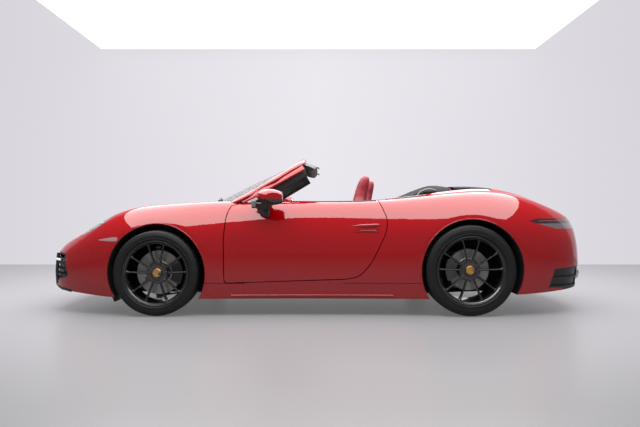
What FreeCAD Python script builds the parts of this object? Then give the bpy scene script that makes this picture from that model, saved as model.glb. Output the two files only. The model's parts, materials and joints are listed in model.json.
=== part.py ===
import FreeCAD, Part
import Sketcher
import math
import os

# Open two-door car, engine behind the rear axle, soft top folded away.
# +X to the nose, +Y to the driver's side, +Z up, origin on the ground at mid length.

Vec = FreeCAD.Vector
doc = FreeCAD.newDocument("convertible_car")
sheet = doc.addObject("Spreadsheet::Sheet", "sizes")

DRIVING_SIZES = [
    ("front_overhang", 1010.0, "nose to front axle"),
    ("wheelbase", 2450.0, "front axle to rear axle"),
    ("rear_overhang", 1059.0, "rear axle to tail"),
    ("body_width", 1852.0, "widest point of the rear wings"),
    ("belt_height", 885.0, "ground to the top of the doors"),
    ("screen_height", 395.0, "belt to the top of the windscreen frame"),
    ("front_track", 1589.0, "between the front tyres' middles"),
    ("rear_track", 1557.0, "between the rear tyres' middles"),
    ("front_tyre_radius", 335.3, "235/40 R19"),
    ("front_tyre_width", 235.0, ""),
    ("rear_tyre_radius", 357.3, "295/35 R20"),
    ("rear_tyre_width", 285.0, ""),
    ("front_rim_radius", 255.0, "to the outer flange"),
    ("rear_rim_radius", 268.0, "to the outer flange"),
    ("front_arch_gap", 47.7, "tyre to wheel arch"),
    ("rear_arch_gap", 39.7, "tyre to wheel arch"),
    ("skin", 4.5, "thickness of the outer panels"),
    ("seat_gap", 0.3, "between pieces that are bolted together"),
    ("shut_gap", 7.0, "round doors and lids"),
    ("sill_height", 262.0, "lower edge of the doors"),
    ("floor_height", 135.0, "underside of the floor"),
    ("floor_thickness", 30.0, ""),
    ("cabin_width", 1330.0, "between the door trims"),
    ("front_disc_radius", 175.0, ""),
    ("rear_disc_radius", 165.0, ""),
    ("disc_thickness", 32.0, ""),
    ("spindle_radius", 30.0, ""),
    ("bearing_gap", 0.3, "spindle to hub"),
    ("wheel_pin_circle", 130.0, "five wheel bolts"),
    ("steering_wheel_radius", 185.0, ""),
    ("engine_length", 520.0, ""),
    ("engine_width", 760.0, ""),
    ("engine_height", 420.0, ""),
    ("door_hinge_depth", 18.0, "hinge axis inside the widest skin"),
    ("hinge_pin_radius", 4.0, "doors and lids"),
    ("pipe_radius", 47.0, "tailpipes, outside"),
]
for row, (alias, value, note) in enumerate(DRIVING_SIZES, start=1):
    sheet.set("A%d" % row, alias)
    sheet.set("B%d" % row, str(value))
    sheet.set("C%d" % row, note)
    sheet.setAlias("B%d" % row, alias)
doc.recompute()


def size(alias):
    return float(sheet.get(alias))


overall_length = size("front_overhang") + size("wheelbase") + size("rear_overhang")
nose_x = overall_length / 2
front_axle_x = nose_x - size("front_overhang")
rear_axle_x = front_axle_x - size("wheelbase")
tail_x = -nose_x
FAR = 2600.0
TALL = 1500.0
skin = size("skin")
seat_gap = size("seat_gap")
shut_gap = size("shut_gap")
front_wheel_y = size("front_track") / 2
rear_wheel_y = size("rear_track") / 2
front_wheel_z = size("front_tyre_radius")
rear_wheel_z = size("rear_tyre_radius")
front_arch_radius = size("front_tyre_radius") + size("front_arch_gap")
rear_arch_radius = size("rear_tyre_radius") + size("rear_arch_gap")

# The body's lines below are drawn at the sizes of this reference car and follow the sheet's sizes.
DRAWN_STATIONS = [-2259.5, -1200.5, 1249.5, 2259.5]
DRAWN_WIDTH = 1852.0
DRAWN_BELT = 885.0
DRAWN_SCREEN = 395.0


def along(x):
    """Length line of the drawing carried to the car's own axles and ends."""
    own = [tail_x, rear_axle_x, front_axle_x, nose_x]
    k = 0
    while k < 2 and x > DRAWN_STATIONS[k + 1]:
        k += 1
    share = (x - DRAWN_STATIONS[k]) / (DRAWN_STATIONS[k + 1] - DRAWN_STATIONS[k])
    return own[k] + share * (own[k + 1] - own[k])


def across(y):
    return y * size("body_width") / DRAWN_WIDTH


def height(z):
    belt = size("belt_height")
    if z <= DRAWN_BELT:
        return z * belt / DRAWN_BELT
    return belt + (z - DRAWN_BELT) * size("screen_height") / DRAWN_SCREEN


def place(x, y, z):
    return Vec(along(x), across(y), height(z))


# Outline tools: a closed line of corners (a, b, radius) in one of the three planes

def side_plane(a, b):
    return Vec(along(a), 0, height(b))


def plan_plane(a, b):
    return Vec(along(a), across(b), 0)


def front_plane(a, b):
    return Vec(0, across(a), height(b))


def outline(corners, plane):
    points = [plane(*corner[:2]) for corner in corners]
    count = len(points)
    turns = []
    for k, here in enumerate(points):
        before = points[k - 1] - here
        after = points[(k + 1) % count] - here
        room = 0.48 * min(before.Length, after.Length)
        before.normalize()
        after.normalize()
        half_angle = before.getAngle(after) / 2
        radius = corners[k][2] if len(corners[k]) > 2 else 0
        if radius > 0 and half_angle < math.pi / 2 - 0.002:
            reach = min(radius / math.tan(half_angle), room)
            radius = reach * math.tan(half_angle)
            middle = (before + after).normalize() * (radius / math.sin(half_angle) - radius)
            turns.append((here + before * reach, here + middle, here + after * reach))
        else:
            turns.append((here, None, here))
    edges = []
    for k in range(count):
        start, middle, end = turns[k]
        if middle is not None:
            edges.append(Part.Arc(start, middle, end).toShape())
        edges.append(Part.LineSegment(end, turns[(k + 1) % count][0]).toShape())
    return Part.Wire(Part.__sortEdges__(edges))


def grown(wire, by):
    if by == 0:
        return wire
    return wire.makeOffset2D(by, 0)


def side_block(corners, y_low, y_high, grow=0):
    face = Part.Face(grown(outline(corners, side_plane), grow))
    face.translate(Vec(0, y_low, 0))
    return face.extrude(Vec(0, y_high - y_low, 0))


def leaning_block(corners, lean, y_zero, grow=0):
    start = FAR - y_zero
    face = Part.Face(grown(outline(corners, side_plane), grow))
    face.translate(Vec(-lean * start, FAR, 0))
    return face.extrude(Vec(lean * FAR, -FAR, 0))


def plan_block(corners, z_low, z_high, grow=0):
    face = Part.Face(grown(outline(corners, plan_plane), grow))
    face.translate(Vec(0, 0, z_low))
    return face.extrude(Vec(0, 0, z_high - z_low))


def front_block(corners, x_low, x_high, grow=0):
    face = Part.Face(grown(outline(corners, front_plane), grow))
    face.translate(Vec(x_low, 0, 0))
    return face.extrude(Vec(x_high - x_low, 0, 0))


def box(x_low, x_high, y_low, y_high, z_low, z_high):
    return Part.makeBox(x_high - x_low, y_high - y_low, z_high - z_low, Vec(x_low, y_low, z_low))


def wheel_cylinder(x, y_low, y_high, z, radius):
    return Part.makeCylinder(radius, y_high - y_low, Vec(x, y_low, z), Vec(0, 1, 0))


def mirrored(shape):
    return shape.mirror(Vec(0, 0, 0), Vec(0, 1, 0))


def whole(half):
    return half.fuse(mirrored(half)).removeSplitter()


def both(half):
    return Part.makeCompound([half, mirrored(half)])


# The body's outer surface, left half. Its columns go round the plan from nose to tail,
# each column climbs from the sill over the wing's crest to the centre line.

BODY_FLOOR = 90.0
PLAN = [(2259, 0), (2259, 190), (2235, 430), (2150, 640), (1985, 775), (1720, 862), (1440, 905),
        (1150, 918), (850, 906), (480, 888), (60, 884), (-360, 890), (-720, 912), (-1050, 930),
        (-1350, 932), (-1640, 912), (-1890, 850), (-2100, 725), (-2215, 500), (-2259, 230), (-2259, 0)]
CREST = [(2140, 0, 574), (2140, 150, 574), (2095, 350, 575), (1995, 520, 596), (1850, 610, 660),
         (1665, 650, 795), (1440, 655, 864), (1150, 660, 882), (850, 680, 902), (480, 712, 898),
         (60, 728, 893), (-360, 726, 895), (-720, 708, 922), (-1050, 690, 960), (-1350, 676, 984),
         (-1640, 655, 955), (-1890, 600, 868), (-2080, 490, 795), (-2165, 340, 762), (-2188, 160, 760),
         (-2188, 0, 760)]
LID_EDGE = [(2040, 0, 590), (2040, 100, 590), (2010, 240, 594), (1930, 360, 612), (1800, 440, 662),
            (1620, 480, 742), (1420, 500, 802), (1150, 520, 838), (850, 540, 876), (480, 560, 898),
            (60, 560, 900), (-360, 560, 912), (-720, 540, 962), (-1050, 520, 1016), (-1350, 505, 1034),
            (-1620, 480, 1000), (-1840, 420, 922), (-1990, 330, 858), (-2060, 220, 822), (-2080, 100, 816),
            (-2080, 0, 816)]
SPINE = [(1900, 640), (1880, 645), (1830, 656), (1760, 676), (1670, 706), (1540, 748), (1380, 792),
         (1140, 836), (850, 880), (480, 908), (60, 912), (-360, 925), (-720, 982), (-1050, 1038),
         (-1340, 1052), (-1580, 1022), (-1760, 962), (-1870, 918), (-1930, 890), (-1960, 876), (-1970, 872)]
COLUMNS = len(PLAN)


def between(a, b, share):
    return a + (b - a) * share


def inward(column):
    if column < 2:
        return (-1.0, 0.0)
    if column > COLUMNS - 3:
        return (1.0, 0.0)
    before = PLAN[column - 1]
    after = PLAN[column + 1]
    run = (after[0] - before[0], after[1] - before[1])
    length = math.hypot(*run)
    side = (run[1] / length, -run[0] / length)
    if side[0] * PLAN[column][0] + side[1] * PLAN[column][1] > 0:
        side = (-side[0], -side[1])
    return side


def body_column(column):
    plan_x, plan_y = PLAN[column]
    crest_x, crest_y, crest_z = CREST[column]
    edge_x, edge_y, edge_z = LID_EDGE[column]
    spine_x, spine_z = SPINE[column]
    to_x, to_y = inward(column)

    def flank(inset, share):
        return (plan_x + to_x * inset, plan_y + to_y * inset, between(BODY_FLOOR, crest_z, share))

    return [
        flank(52, 0.0),
        flank(24, 0.14),
        flank(0, 0.34),
        flank(0, 0.54),
        flank(14, 0.73),
        (between(plan_x, crest_x, 0.42), between(plan_y, crest_y, 0.42), between(BODY_FLOOR, crest_z, 0.91)),
        (between(plan_x, crest_x, 0.82), between(plan_y, crest_y, 0.82), crest_z),
        (between(crest_x, edge_x, 0.25), between(crest_y, edge_y, 0.25), crest_z + 4),
        (between(crest_x, edge_x, 0.70), between(crest_y, edge_y, 0.70), between(crest_z, edge_z, 0.8)),
        (between(edge_x, spine_x, 0.15), edge_y * 0.85, edge_z),
        (between(edge_x, spine_x, 0.6), edge_y * 0.40, spine_z),
        (spine_x, 0, spine_z),
    ]


def body_normals(poles):
    rows = len(poles[0])
    normals = []
    for i in range(COLUMNS):
        line = []
        for j in range(rows):
            side = poles[min(i + 1, COLUMNS - 1)][j] - poles[max(i - 1, 0)][j]
            up = poles[i][min(j + 1, rows - 1)] - poles[i][max(j - 1, 0)]
            if i == 0 or i == COLUMNS - 1:
                side = Vec(0, 1 if i == 0 else -1, 0)
            elif j == rows - 1:
                up = Vec(0, -1, 0)
            line.append(side.cross(up).normalize())
        normals.append(line)
    for j in range(rows):
        normals[1][j] = normals[0][j]
        normals[COLUMNS - 2][j] = normals[COLUMNS - 1][j]
    for i in range(2, COLUMNS - 2):
        normals[i][rows - 2] = normals[i][rows - 1]
    return normals


drawn_poles = [[place(*point) for point in body_column(k)] for k in range(COLUMNS)]
drawn_normals = body_normals(drawn_poles)


def body_surface(depth):
    poles = []
    for points, normals in zip(drawn_poles, drawn_normals):
        moved = [point - normal * depth for point, normal in zip(points, normals)]
        moved[0].z = height(BODY_FLOOR)
        poles.append(moved)
    count_u = len(poles)
    count_v = len(poles[0])
    knots_u = list(range(count_u - 2))
    knots_v = list(range(count_v - 2))
    folds_u = [4] + [1] * (count_u - 4) + [4]
    folds_v = [4] + [1] * (count_v - 4) + [4]
    surface = Part.BSplineSurface()
    surface.buildFromPolesMultsKnots(poles, folds_u, folds_v, knots_u, knots_v, False, False, 3, 3)
    return surface


def half_body(depth):
    surface = body_surface(depth)
    cover = surface.toShape()
    u_low, u_high, v_low, v_high = surface.bounds()
    foot = surface.vIso(v_low).toShape()
    nose_line = surface.uIso(u_low).toShape()
    tail_line = surface.uIso(u_high).toShape()
    spine_line = surface.vIso(v_high).toShape()
    base = Part.LineSegment(surface.value(u_high, v_low), surface.value(u_low, v_low)).toShape()
    middle = Part.Face(Part.Wire(Part.__sortEdges__([nose_line, spine_line, tail_line, base])))
    under = Part.Face(Part.Wire(Part.__sortEdges__([foot, base])))
    shell = Part.Shell([cover, middle, under])
    shell.sewShape(0.01)
    solid = Part.Solid(shell)
    if solid.Volume < 0:
        solid.reverse()
    return solid


outer_body = half_body(0)
skin_layer = outer_body.cut(half_body(skin))
structure_body = half_body(skin + seat_gap)

# Shut lines and openings, as drawn on the reference car

DOOR_LINE = [(718, 262, 30), (722, 600, 900), (708, 740, 500), (690, 810, 300), (652, 870, 10), (640, 1000),
             (-530, 1000), (-514, 892, 10), (-558, 751, 240), (-538, 650, 300), (-420, 410, 400),
             (-330, 312, 120), (-230, 292, 200)]
LID_LINE = [(948, -60), (948, 0), (938, 250, 400), (915, 430, 300), (880, 562, 40), (1100, 545, 900),
            (1400, 494, 900), (1650, 448, 900), (1850, 392, 400), (1975, 300, 120), (2012, 150, 300),
            (2018, 0), (2018, -60)]
BUMPER_LINE = [(2400, 0), (2400, 760), (2060, 760), (2040, 618, 60), (1960, 590, 300), (1780, 580, 300),
               (1560, 560), (1560, 0)]
REAR_BUMPER_LINE = [(-2400, 0), (-2400, 672), (-1900, 672, 200), (-1740, 650, 100), (-1640, 560, 200),
                    (-1500, 500), (-1500, 0)]
TAIL_LAMP_LINE = [(-1655, 742), (-1740, 762, 100), (-2400, 762), (-2400, 680), (-1900, 680, 300)]
ENGINE_LID_LINE = [(-1508, -60), (-1508, 0), (-1490, 330, 300), (-1480, 470, 40), (-1740, 462, 400),
                   (-1930, 420, 60), (-1940, 0), (-1940, -60)]
SPOILER_LINE = [(-1948, -60), (-1948, 0), (-1938, 430, 60), (-2010, 480, 60), (-2400, 600), (-2400, -60)]
GRILLE_LINE = [(-1545, -60), (-1545, 380, 30), (-1860, 350, 40), (-1860, -60)]
CABIN_LINE = [(700, -60), (700, 560, 60), (640, 662, 60), (0, 672, 2000), (-560, 665, 300), (-900, 632, 900),
              (-1160, 592, 300), (-1462, 556, 30), (-1482, 440), (-1506, 0), (-1506, -60)]
TOP_LID_LINE = [(-1200, -60), (-1200, 0), (-1188, 300, 500), (-1150, 530, 60), (-1300, 545, 500),
                (-1470, 540, 30), (-1484, 330, 300), (-1500, 0), (-1500, -60)]
COWL_LINE = [(1000, -60), (1000, 500), (905, 535), (862, 576), (812, 590), (700, 640, 20), (600, 640),
             (600, -60)]
BULKHEAD_X = 760
PILLAR_FOOT_LINE = [(760, 560), (760, 776), (690, 768, 30), (600, 748, 100), (500, 724, 100), (430, 700, 10),
                    (430, 560)]
HEADLAMP_CENTRE = (1772, 628, 704)
HEADLAMP_DIRECTION = (0.72, 0.30, 0.62)
HEADLAMP_LONG = 165.0
HEADLAMP_WIDE = 118.0


def front_arch(radius_more=0.0, y_low=0.0):
    return wheel_cylinder(front_axle_x, y_low, FAR, front_wheel_z, front_arch_radius + radius_more)


def rear_arch(radius_more=0.0, y_low=0.0):
    return wheel_cylinder(rear_axle_x - 12, y_low, FAR, rear_wheel_z, rear_arch_radius + radius_more)


def cut_all(shape, tools):
    for tool in tools:
        shape = shape.cut(tool)
    return shape


def headlamp_cutter(grow=0.0):
    centre = place(*HEADLAMP_CENTRE)
    direction = Vec(*HEADLAMP_DIRECTION).normalize()
    lengthwise = Vec(1, 0, 0) - direction * direction.x
    lengthwise = (lengthwise + Vec(0, 0, -0.02)).normalize()
    lengthwise = (lengthwise - direction * lengthwise.dot(direction)).normalize()
    crosswise = direction.cross(lengthwise)
    start = centre - direction * 60
    ellipse = Part.Ellipse(start + lengthwise * (HEADLAMP_LONG + grow),
                           start + crosswise * (HEADLAMP_WIDE + grow), start)
    face = Part.Face(Part.Wire([ellipse.toShape()]))
    return face.extrude(direction * 200)


DOOR_LEAN = 0.15
DOOR_HINGE_X = 678
door_hinge_x = along(DOOR_HINGE_X)


def flank_y(x, z):
    line = Part.LineSegment(Vec(along(x), 400, height(z)), Vec(along(x), FAR, height(z))).toShape()
    return line.common(outer_body).BoundBox.YMax


def top_z(x, y):
    line = Part.LineSegment(Vec(along(x), across(y), 300), Vec(along(x), across(y), TALL)).toShape()
    return line.common(outer_body).BoundBox.ZMax


door_hinge_y = flank_y(DOOR_HINGE_X + 40, 450) - size("door_hinge_depth")
door_full = leaning_block(DOOR_LINE, DOOR_LEAN, door_hinge_y)
door_gap_block = leaning_block(DOOR_LINE, DOOR_LEAN, door_hinge_y, shut_gap)
door_well = leaning_block(DOOR_LINE, DOOR_LEAN, door_hinge_y, 14).common(box(-FAR, FAR, across(600), FAR, 0,
                                                                             TALL))
lid_gap_block = plan_block(LID_LINE, 0, TALL, shut_gap)
bumper_zone = side_block(BUMPER_LINE, 0, FAR)
rear_bumper_zone = side_block(REAR_BUMPER_LINE, 0, FAR)
tail_lamp_zone = side_block(TAIL_LAMP_LINE, 0, FAR)
cabin_zone = plan_block(CABIN_LINE, 0, TALL)
pillar_foot_zone = plan_block(PILLAR_FOOT_LINE, height(850), TALL)
sill_top = size("sill_height")

parts = {}


def front_wings():
    wing = skin_layer.common(box(along(560), nose_x + 50, 0, FAR, sill_top, TALL))
    lid_region = plan_block(LID_LINE, height(500), TALL, shut_gap)
    wing = cut_all(wing, [lid_region, door_gap_block, side_block(BUMPER_LINE, 0, FAR, seat_gap), front_arch(),
                          headlamp_cutter(seat_gap), plan_block(COWL_LINE, height(600), TALL, seat_gap),
                          cabin_zone])
    return both(wing)


LID_FRAME_DEPTH = 22.0
LID_PLATE_DEPTH = 6.0


def lid_shell(line, floor_z, around=None):
    cover = skin_layer.common(plan_block(line, height(floor_z), TALL))
    frame = half_body(skin).cut(half_body(skin + LID_FRAME_DEPTH)).common(plan_block(line, height(floor_z),
                                                                                     TALL, -28))
    hollow = half_body(skin + LID_PLATE_DEPTH).common(plan_block(line, height(floor_z), TALL, -90))
    return cover, frame.cut(hollow)


def luggage_lid():
    cover, frame = lid_shell(LID_LINE, 520)
    cover = cover.cut(side_block(BUMPER_LINE, 0, FAR, shut_gap))
    frame = frame.cut(side_block(BUMPER_LINE, 0, FAR, shut_gap + 30))
    arm = box(luggage_hinge.x - 8, along(960), LUGGAGE_HINGE_Y - 9, LUGGAGE_HINGE_Y + 9, luggage_hinge.z - 8,
              luggage_hinge.z + 8)
    arm = arm.fuse(Part.makeCylinder(11, 18, luggage_hinge - Vec(0, 9, 0), Vec(0, 1, 0)))
    arm = arm.cut(Part.makeCylinder(size("hinge_pin_radius") + size("bearing_gap"), 60,
                                    luggage_hinge - Vec(0, 30, 0), Vec(0, 1, 0)))
    return whole(cover.fuse(frame).fuse(arm))


LUGGAGE_HINGE_X = 868.0
LUGGAGE_HINGE_Y = 515.0
luggage_hinge = Vec(along(LUGGAGE_HINGE_X), LUGGAGE_HINGE_Y, top_z(LUGGAGE_HINGE_X, LUGGAGE_HINGE_Y) - 20)
ENGINE_HINGE_Y = 300.0
engine_hinge = Vec(along(-1448), ENGINE_HINGE_Y, top_z(-1448, ENGINE_HINGE_Y) - 22)


def front_bumper():
    cover = skin_layer.common(bumper_zone).cut(side_block(UNDER_NOSE, 0, FAR))
    cover = cover.cut(front_arch())
    cover = cover.cut(headlamp_cutter(seat_gap))
    cover = cover.cut(intake_opening(0))
    return whole(cover)


UNDER_NOSE = [(2400, 0), (2400, 240), (2180, 222), (2060, 188), (1640, 146), (600, 135), (600, 0)]
UNDER_TAIL = [(-2400, 0), (-2400, 215), (-2050, 200), (-1640, 172), (-700, 135), (-700, 0)]
SIDE_INTAKE = [(330, 262, 20), (640, 252, 30), (760, 300, 30), (720, 480, 30), (560, 492, 20), (330, 440, 40)]
LOW_INTAKE = [(-60, 205), (300, 205, 20), (290, 330, 40), (-60, 345)]


def intake_opening(grow):
    side = front_block(SIDE_INTAKE, along(1700), FAR, grow)
    low = front_block(LOW_INTAKE, along(1700), FAR, grow)
    return side.fuse(low)


def front_intakes():
    lining = half_body(skin + seat_gap).cut(half_body(60))
    side = lining.common(front_block(SIDE_INTAKE, along(1700), FAR, -1))
    slats = []
    for level in (310, 352, 394, 436):
        slats.append(box(along(1700), FAR, 0, FAR, height(level) - 4, height(level) + 4))
    grille = side.common(Part.makeCompound(slats))
    rim = side.cut(front_block(SIDE_INTAKE, along(1700), FAR, -14))
    back = half_body(50).cut(half_body(60)).common(front_block(SIDE_INTAKE, along(1700), FAR, -1))
    left = rim.fuse(grille).fuse(back)
    low = lining.common(front_block(LOW_INTAKE, along(1700), FAR, -1))
    low_rim = low.cut(front_block(LOW_INTAKE, along(1700), FAR, -14))
    low_back = half_body(50).cut(half_body(60)).common(front_block(LOW_INTAKE, along(1700), FAR, -1))
    low_slats = low.common(Part.makeCompound([box(along(1700), FAR, 0, FAR, height(z) - 3, height(z) + 3)
                                              for z in (246, 288)]))
    middle = whole(low_rim.fuse(low_back).fuse(low_slats))
    return Part.makeCompound([left, mirrored(left), middle])


def headlamps():
    lamp = outer_body.common(headlamp_cutter()).cut(half_body(40))
    return both(lamp)


SKIRT_LINE = [(1050, 134), (1050, 255), (560, 255), (560, 340), (-199.7, 340), (-199.7, 255), (-1000, 255),
              (-1000, 134)]


def side_skirts():
    skirt = skin_layer.common(side_block(SKIRT_LINE, 0, FAR))
    skirt = cut_all(skirt, [front_arch(), rear_arch(), door_gap_block])
    skirt = skirt.cut(bumper_zone)
    return both(skirt)


def rear_quarters():
    quarter = skin_layer.common(box(tail_x - 50, along(-200), 0, FAR, sill_top, TALL))
    quarter = cut_all(quarter, [door_gap_block, rear_arch(), side_block(REAR_BUMPER_LINE, 0, FAR, seat_gap),
                                side_block(TAIL_LAMP_LINE, 0, FAR, seat_gap),
                                plan_block(ENGINE_LID_LINE, height(600), TALL, shut_gap),
                                plan_block(SPOILER_LINE, height(700), TALL, seat_gap),
                                plan_block(TOP_LID_LINE, height(600), TALL, seat_gap),
                                plan_block(CABIN_LINE, height(300), TALL, seat_gap)])
    return both(quarter)


def rear_bumper():
    cover = skin_layer.common(rear_bumper_zone).cut(side_block(UNDER_TAIL, 0, FAR))
    cover = cover.cut(rear_arch()).cut(side_block(TAIL_LAMP_LINE, 0, FAR, seat_gap))
    cover = cover.cut(valance_zone(0))
    return whole(cover)


VALANCE_LINE = [(-60, 100), (800, 100), (800, 250), (700, 262, 20), (640, 372, 20), (-60, 380)]


OUTLET_LINE = [(-1872, 366, 12), (-2400, 392), (-2400, 205), (-1822, 218, 12)]


def valance_zone(grow):
    outlets = side_block(OUTLET_LINE, across(500), FAR, grow)
    return front_block(VALANCE_LINE, -FAR, along(-1960), grow).fuse(outlets)


def rear_valance():
    insert = half_body(3).cut(half_body(40)).common(valance_zone(-seat_gap))
    mouth = side_block(OUTLET_LINE, across(500), FAR, -12).cut(half_body(24))
    blade = box(-FAR, FAR, 0, FAR, height(284), height(297))
    insert = insert.cut(mouth.cut(blade))
    insert = insert.cut(side_block(UNDER_TAIL, 0, FAR))
    return whole(insert.cut(pipe_bores(size("pipe_radius") + seat_gap)))


PIPE_PLACES = [330, 450]
PIPE_HEIGHT = 300.0
PIPE_START_X = -1995


def pipe_bores(radius):
    bores = []
    for y in PIPE_PLACES:
        bores.append(Part.makeCylinder(radius, 600, Vec(along(-1900), across(y), height(PIPE_HEIGHT)),
                                       Vec(-1, 0, 0)))
    return Part.makeCompound(bores)


def tail_lamp():
    strip = outer_body.cut(half_body(30)).common(tail_lamp_zone)
    return whole(strip)


def hinge_hook(start, sweep, inner, outer, y):
    points = [Vec(inner, y - 8, 0), Vec(outer, y - 8, 0), Vec(outer, y + 8, 0), Vec(inner, y + 8, 0)]
    face = Part.Face(Part.makePolygon(points + points[:1]))
    face.rotate(Vec(0, 0, 0), Vec(0, 1, 0), start)
    return face.revolve(Vec(0, 0, 0), Vec(0, 1, 0), sweep)


def engine_lid():
    cover, frame = lid_shell(ENGINE_LID_LINE, 600)
    hook = hinge_hook(180, -62, 64, 80, 0).fuse(hinge_hook(130, -12, 0, 80, 0))
    hook = hook.fuse(Part.makeCylinder(11, 16, Vec(0, -8, 0), Vec(0, 1, 0)))
    hook = hook.cut(Part.makeCylinder(size("hinge_pin_radius") + size("bearing_gap"), 40, Vec(0, -20, 0),
                                      Vec(0, 1, 0)))
    hook.translate(engine_hinge)
    return whole(cover.fuse(frame).fuse(hook).cut(plan_block(GRILLE_LINE, height(600), TALL)))


def lid_grille():
    field = plan_block(GRILLE_LINE, height(600), TALL, -seat_gap)
    layer = half_body(2).cut(half_body(22)).common(field)
    rim = layer.cut(plan_block(GRILLE_LINE, height(600), TALL, -14))
    bars = []
    for k in range(-4, 5):
        bars.append(box(-FAR, 0, k * 78 - 9, k * 78 + 9, height(600), TALL))
    slats = layer.common(Part.makeCompound(bars))
    floor_layer = half_body(16).cut(half_body(22)).common(field)
    return whole(rim.fuse(slats).fuse(floor_layer))


def rear_spoiler():
    cover = outer_body.cut(half_body(24)).common(plan_block(SPOILER_LINE, height(700), TALL))
    cover = cover.common(box(-FAR, 0, 0, FAR, height(762) + seat_gap, TALL))
    return whole(cover)


def top_lid():
    cover = skin_layer.common(plan_block(TOP_LID_LINE, height(600), TALL))
    return whole(cover)


# Structure under the panels

FLOOR_FRONT = 860.0
FLOOR_REAR = -800.0
INNER_SILL = 690.0
TUNNEL_HALF = 120.0
TUNNEL_TOP = 300.0
floor_low = size("floor_height")
floor_top = floor_low + size("floor_thickness")
cabin_half = size("cabin_width") / 2
trim_thickness = 28.0
door_inner_y = cabin_half + trim_thickness


def floor_pan():
    reach = box(along(FLOOR_REAR), along(FLOOR_FRONT), 0, FAR, floor_low, sill_top - 14)
    body = structure_body.common(reach)
    cabin = box(along(FLOOR_REAR) - 1, along(FLOOR_FRONT) + 1, 0, across(INNER_SILL), floor_top, TALL)
    pan = body.cut(cabin)
    tunnel = box(along(FLOOR_REAR), along(720), 0, TUNNEL_HALF, floor_top - 1, TUNNEL_TOP)
    hollow = box(along(FLOOR_REAR) - 1, along(721), 0, TUNNEL_HALF - 12, floor_low - 1, TUNNEL_TOP - 12)
    pan = pan.fuse(tunnel).cut(hollow)
    pan = cut_all(pan, [front_arch(12), rear_arch(12)])
    return whole(pan)


def under_lid(line, deep):
    return plan_block(line, height(520), TALL, shut_gap + 3).cut(half_body(deep))


def hinge_bracket(centre, down):
    pin = Part.makeCylinder(size("hinge_pin_radius"), 42, centre - Vec(0, 21, 0), Vec(0, 1, 0))
    cheeks = box(centre.x - 8, centre.x + 8, centre.y - 21, centre.y + 21, centre.z - down, centre.z + 7)
    cheeks = cheeks.cut(box(centre.x - 9, centre.x + 9, centre.y - 15, centre.y + 15, centre.z - down - 1,
                            centre.z + 8))
    return pin.fuse(cheeks)


def front_body():
    body = structure_body.common(box(along(640), nose_x, 0, FAR, floor_low, TALL))
    cabin = box(along(500), along(BULKHEAD_X), 0, across(640), floor_top - 40, TALL)
    footwell = box(along(500), along(935), 0, across(495), floor_top - 40, height(600))
    bay = box(along(1080), along(1900), 0, across(400), height(360), TALL)
    hinge_pocket = box(luggage_hinge.x - 18, luggage_hinge.x + 90, LUGGAGE_HINGE_Y - 15, LUGGAGE_HINGE_Y + 15,
                       luggage_hinge.z - 19, TALL)
    body = cut_all(body, [cabin, footwell, bay, front_arch(0, across(500)), door_well, hinge_pocket,
                          side_block(UNDER_NOSE, 0, FAR), under_lid(LID_LINE, skin + LID_FRAME_DEPTH + 7),
                          headlamp_cutter(seat_gap).cut(half_body(40 + seat_gap)),
                          intake_opening(4).cut(half_body(60 + seat_gap)),
                          box(along(500), along(FLOOR_FRONT), 0, FAR, 0, sill_top - 14 + seat_gap),
                          plan_block(COWL_LINE, height(600), TALL,
                                     seat_gap).cut(half_body(COWL_DEPTH + seat_gap))])
    return whole(body.fuse(hinge_bracket(luggage_hinge, 50)).fuse(door_straps()))


COWL_DEPTH = 34.0
DOOR_HINGE_LEVELS = (390, 530)


def door_straps():
    straps = []
    for level in DOOR_HINGE_LEVELS:
        z = height(level)
        pin = Part.makeCylinder(size("hinge_pin_radius"), 56, Vec(door_hinge_x, door_hinge_y, z - 28))
        arm = box(door_hinge_x - 6, door_hinge_x + 6, door_hinge_y - 66, door_hinge_y, z - 28, z - 18)
        arm = arm.fuse(Part.makeCylinder(6, 10, Vec(door_hinge_x, door_hinge_y, z - 28)))
        arm = arm.fuse(arm.translated(Vec(0, 0, 46)))
        reach = box(door_hinge_x - 6, along(775), door_hinge_y - 66, door_hinge_y - 54, z - 28, z + 28)
        straps.append(pin.fuse(arm).fuse(reach))
    return Part.makeCompound(straps)


def door_hinge_pockets():
    pockets = []
    for level in DOOR_HINGE_LEVELS:
        pockets.append(box(door_hinge_x - 14, door_hinge_x + 60, door_hinge_y - 74, door_hinge_y + 7,
                           height(level) - 36, height(level) + 36))
    return Part.makeCompound(pockets)


def door_knuckles():
    knuckles = []
    for level in DOOR_HINGE_LEVELS:
        z = height(level)
        eye = Part.makeCylinder(6.5, 24, Vec(door_hinge_x, door_hinge_y, z - 12))
        web = box(door_hinge_x - 16, door_hinge_x, door_hinge_y - 5, door_hinge_y + 5, z - 12, z + 12)
        bore = Part.makeCylinder(size("hinge_pin_radius") + size("bearing_gap"), 60,
                                 Vec(door_hinge_x, door_hinge_y,
                                                                                         z - 30))
        knuckles.append(eye.fuse(web).cut(bore))
    return Part.makeCompound(knuckles)


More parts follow.
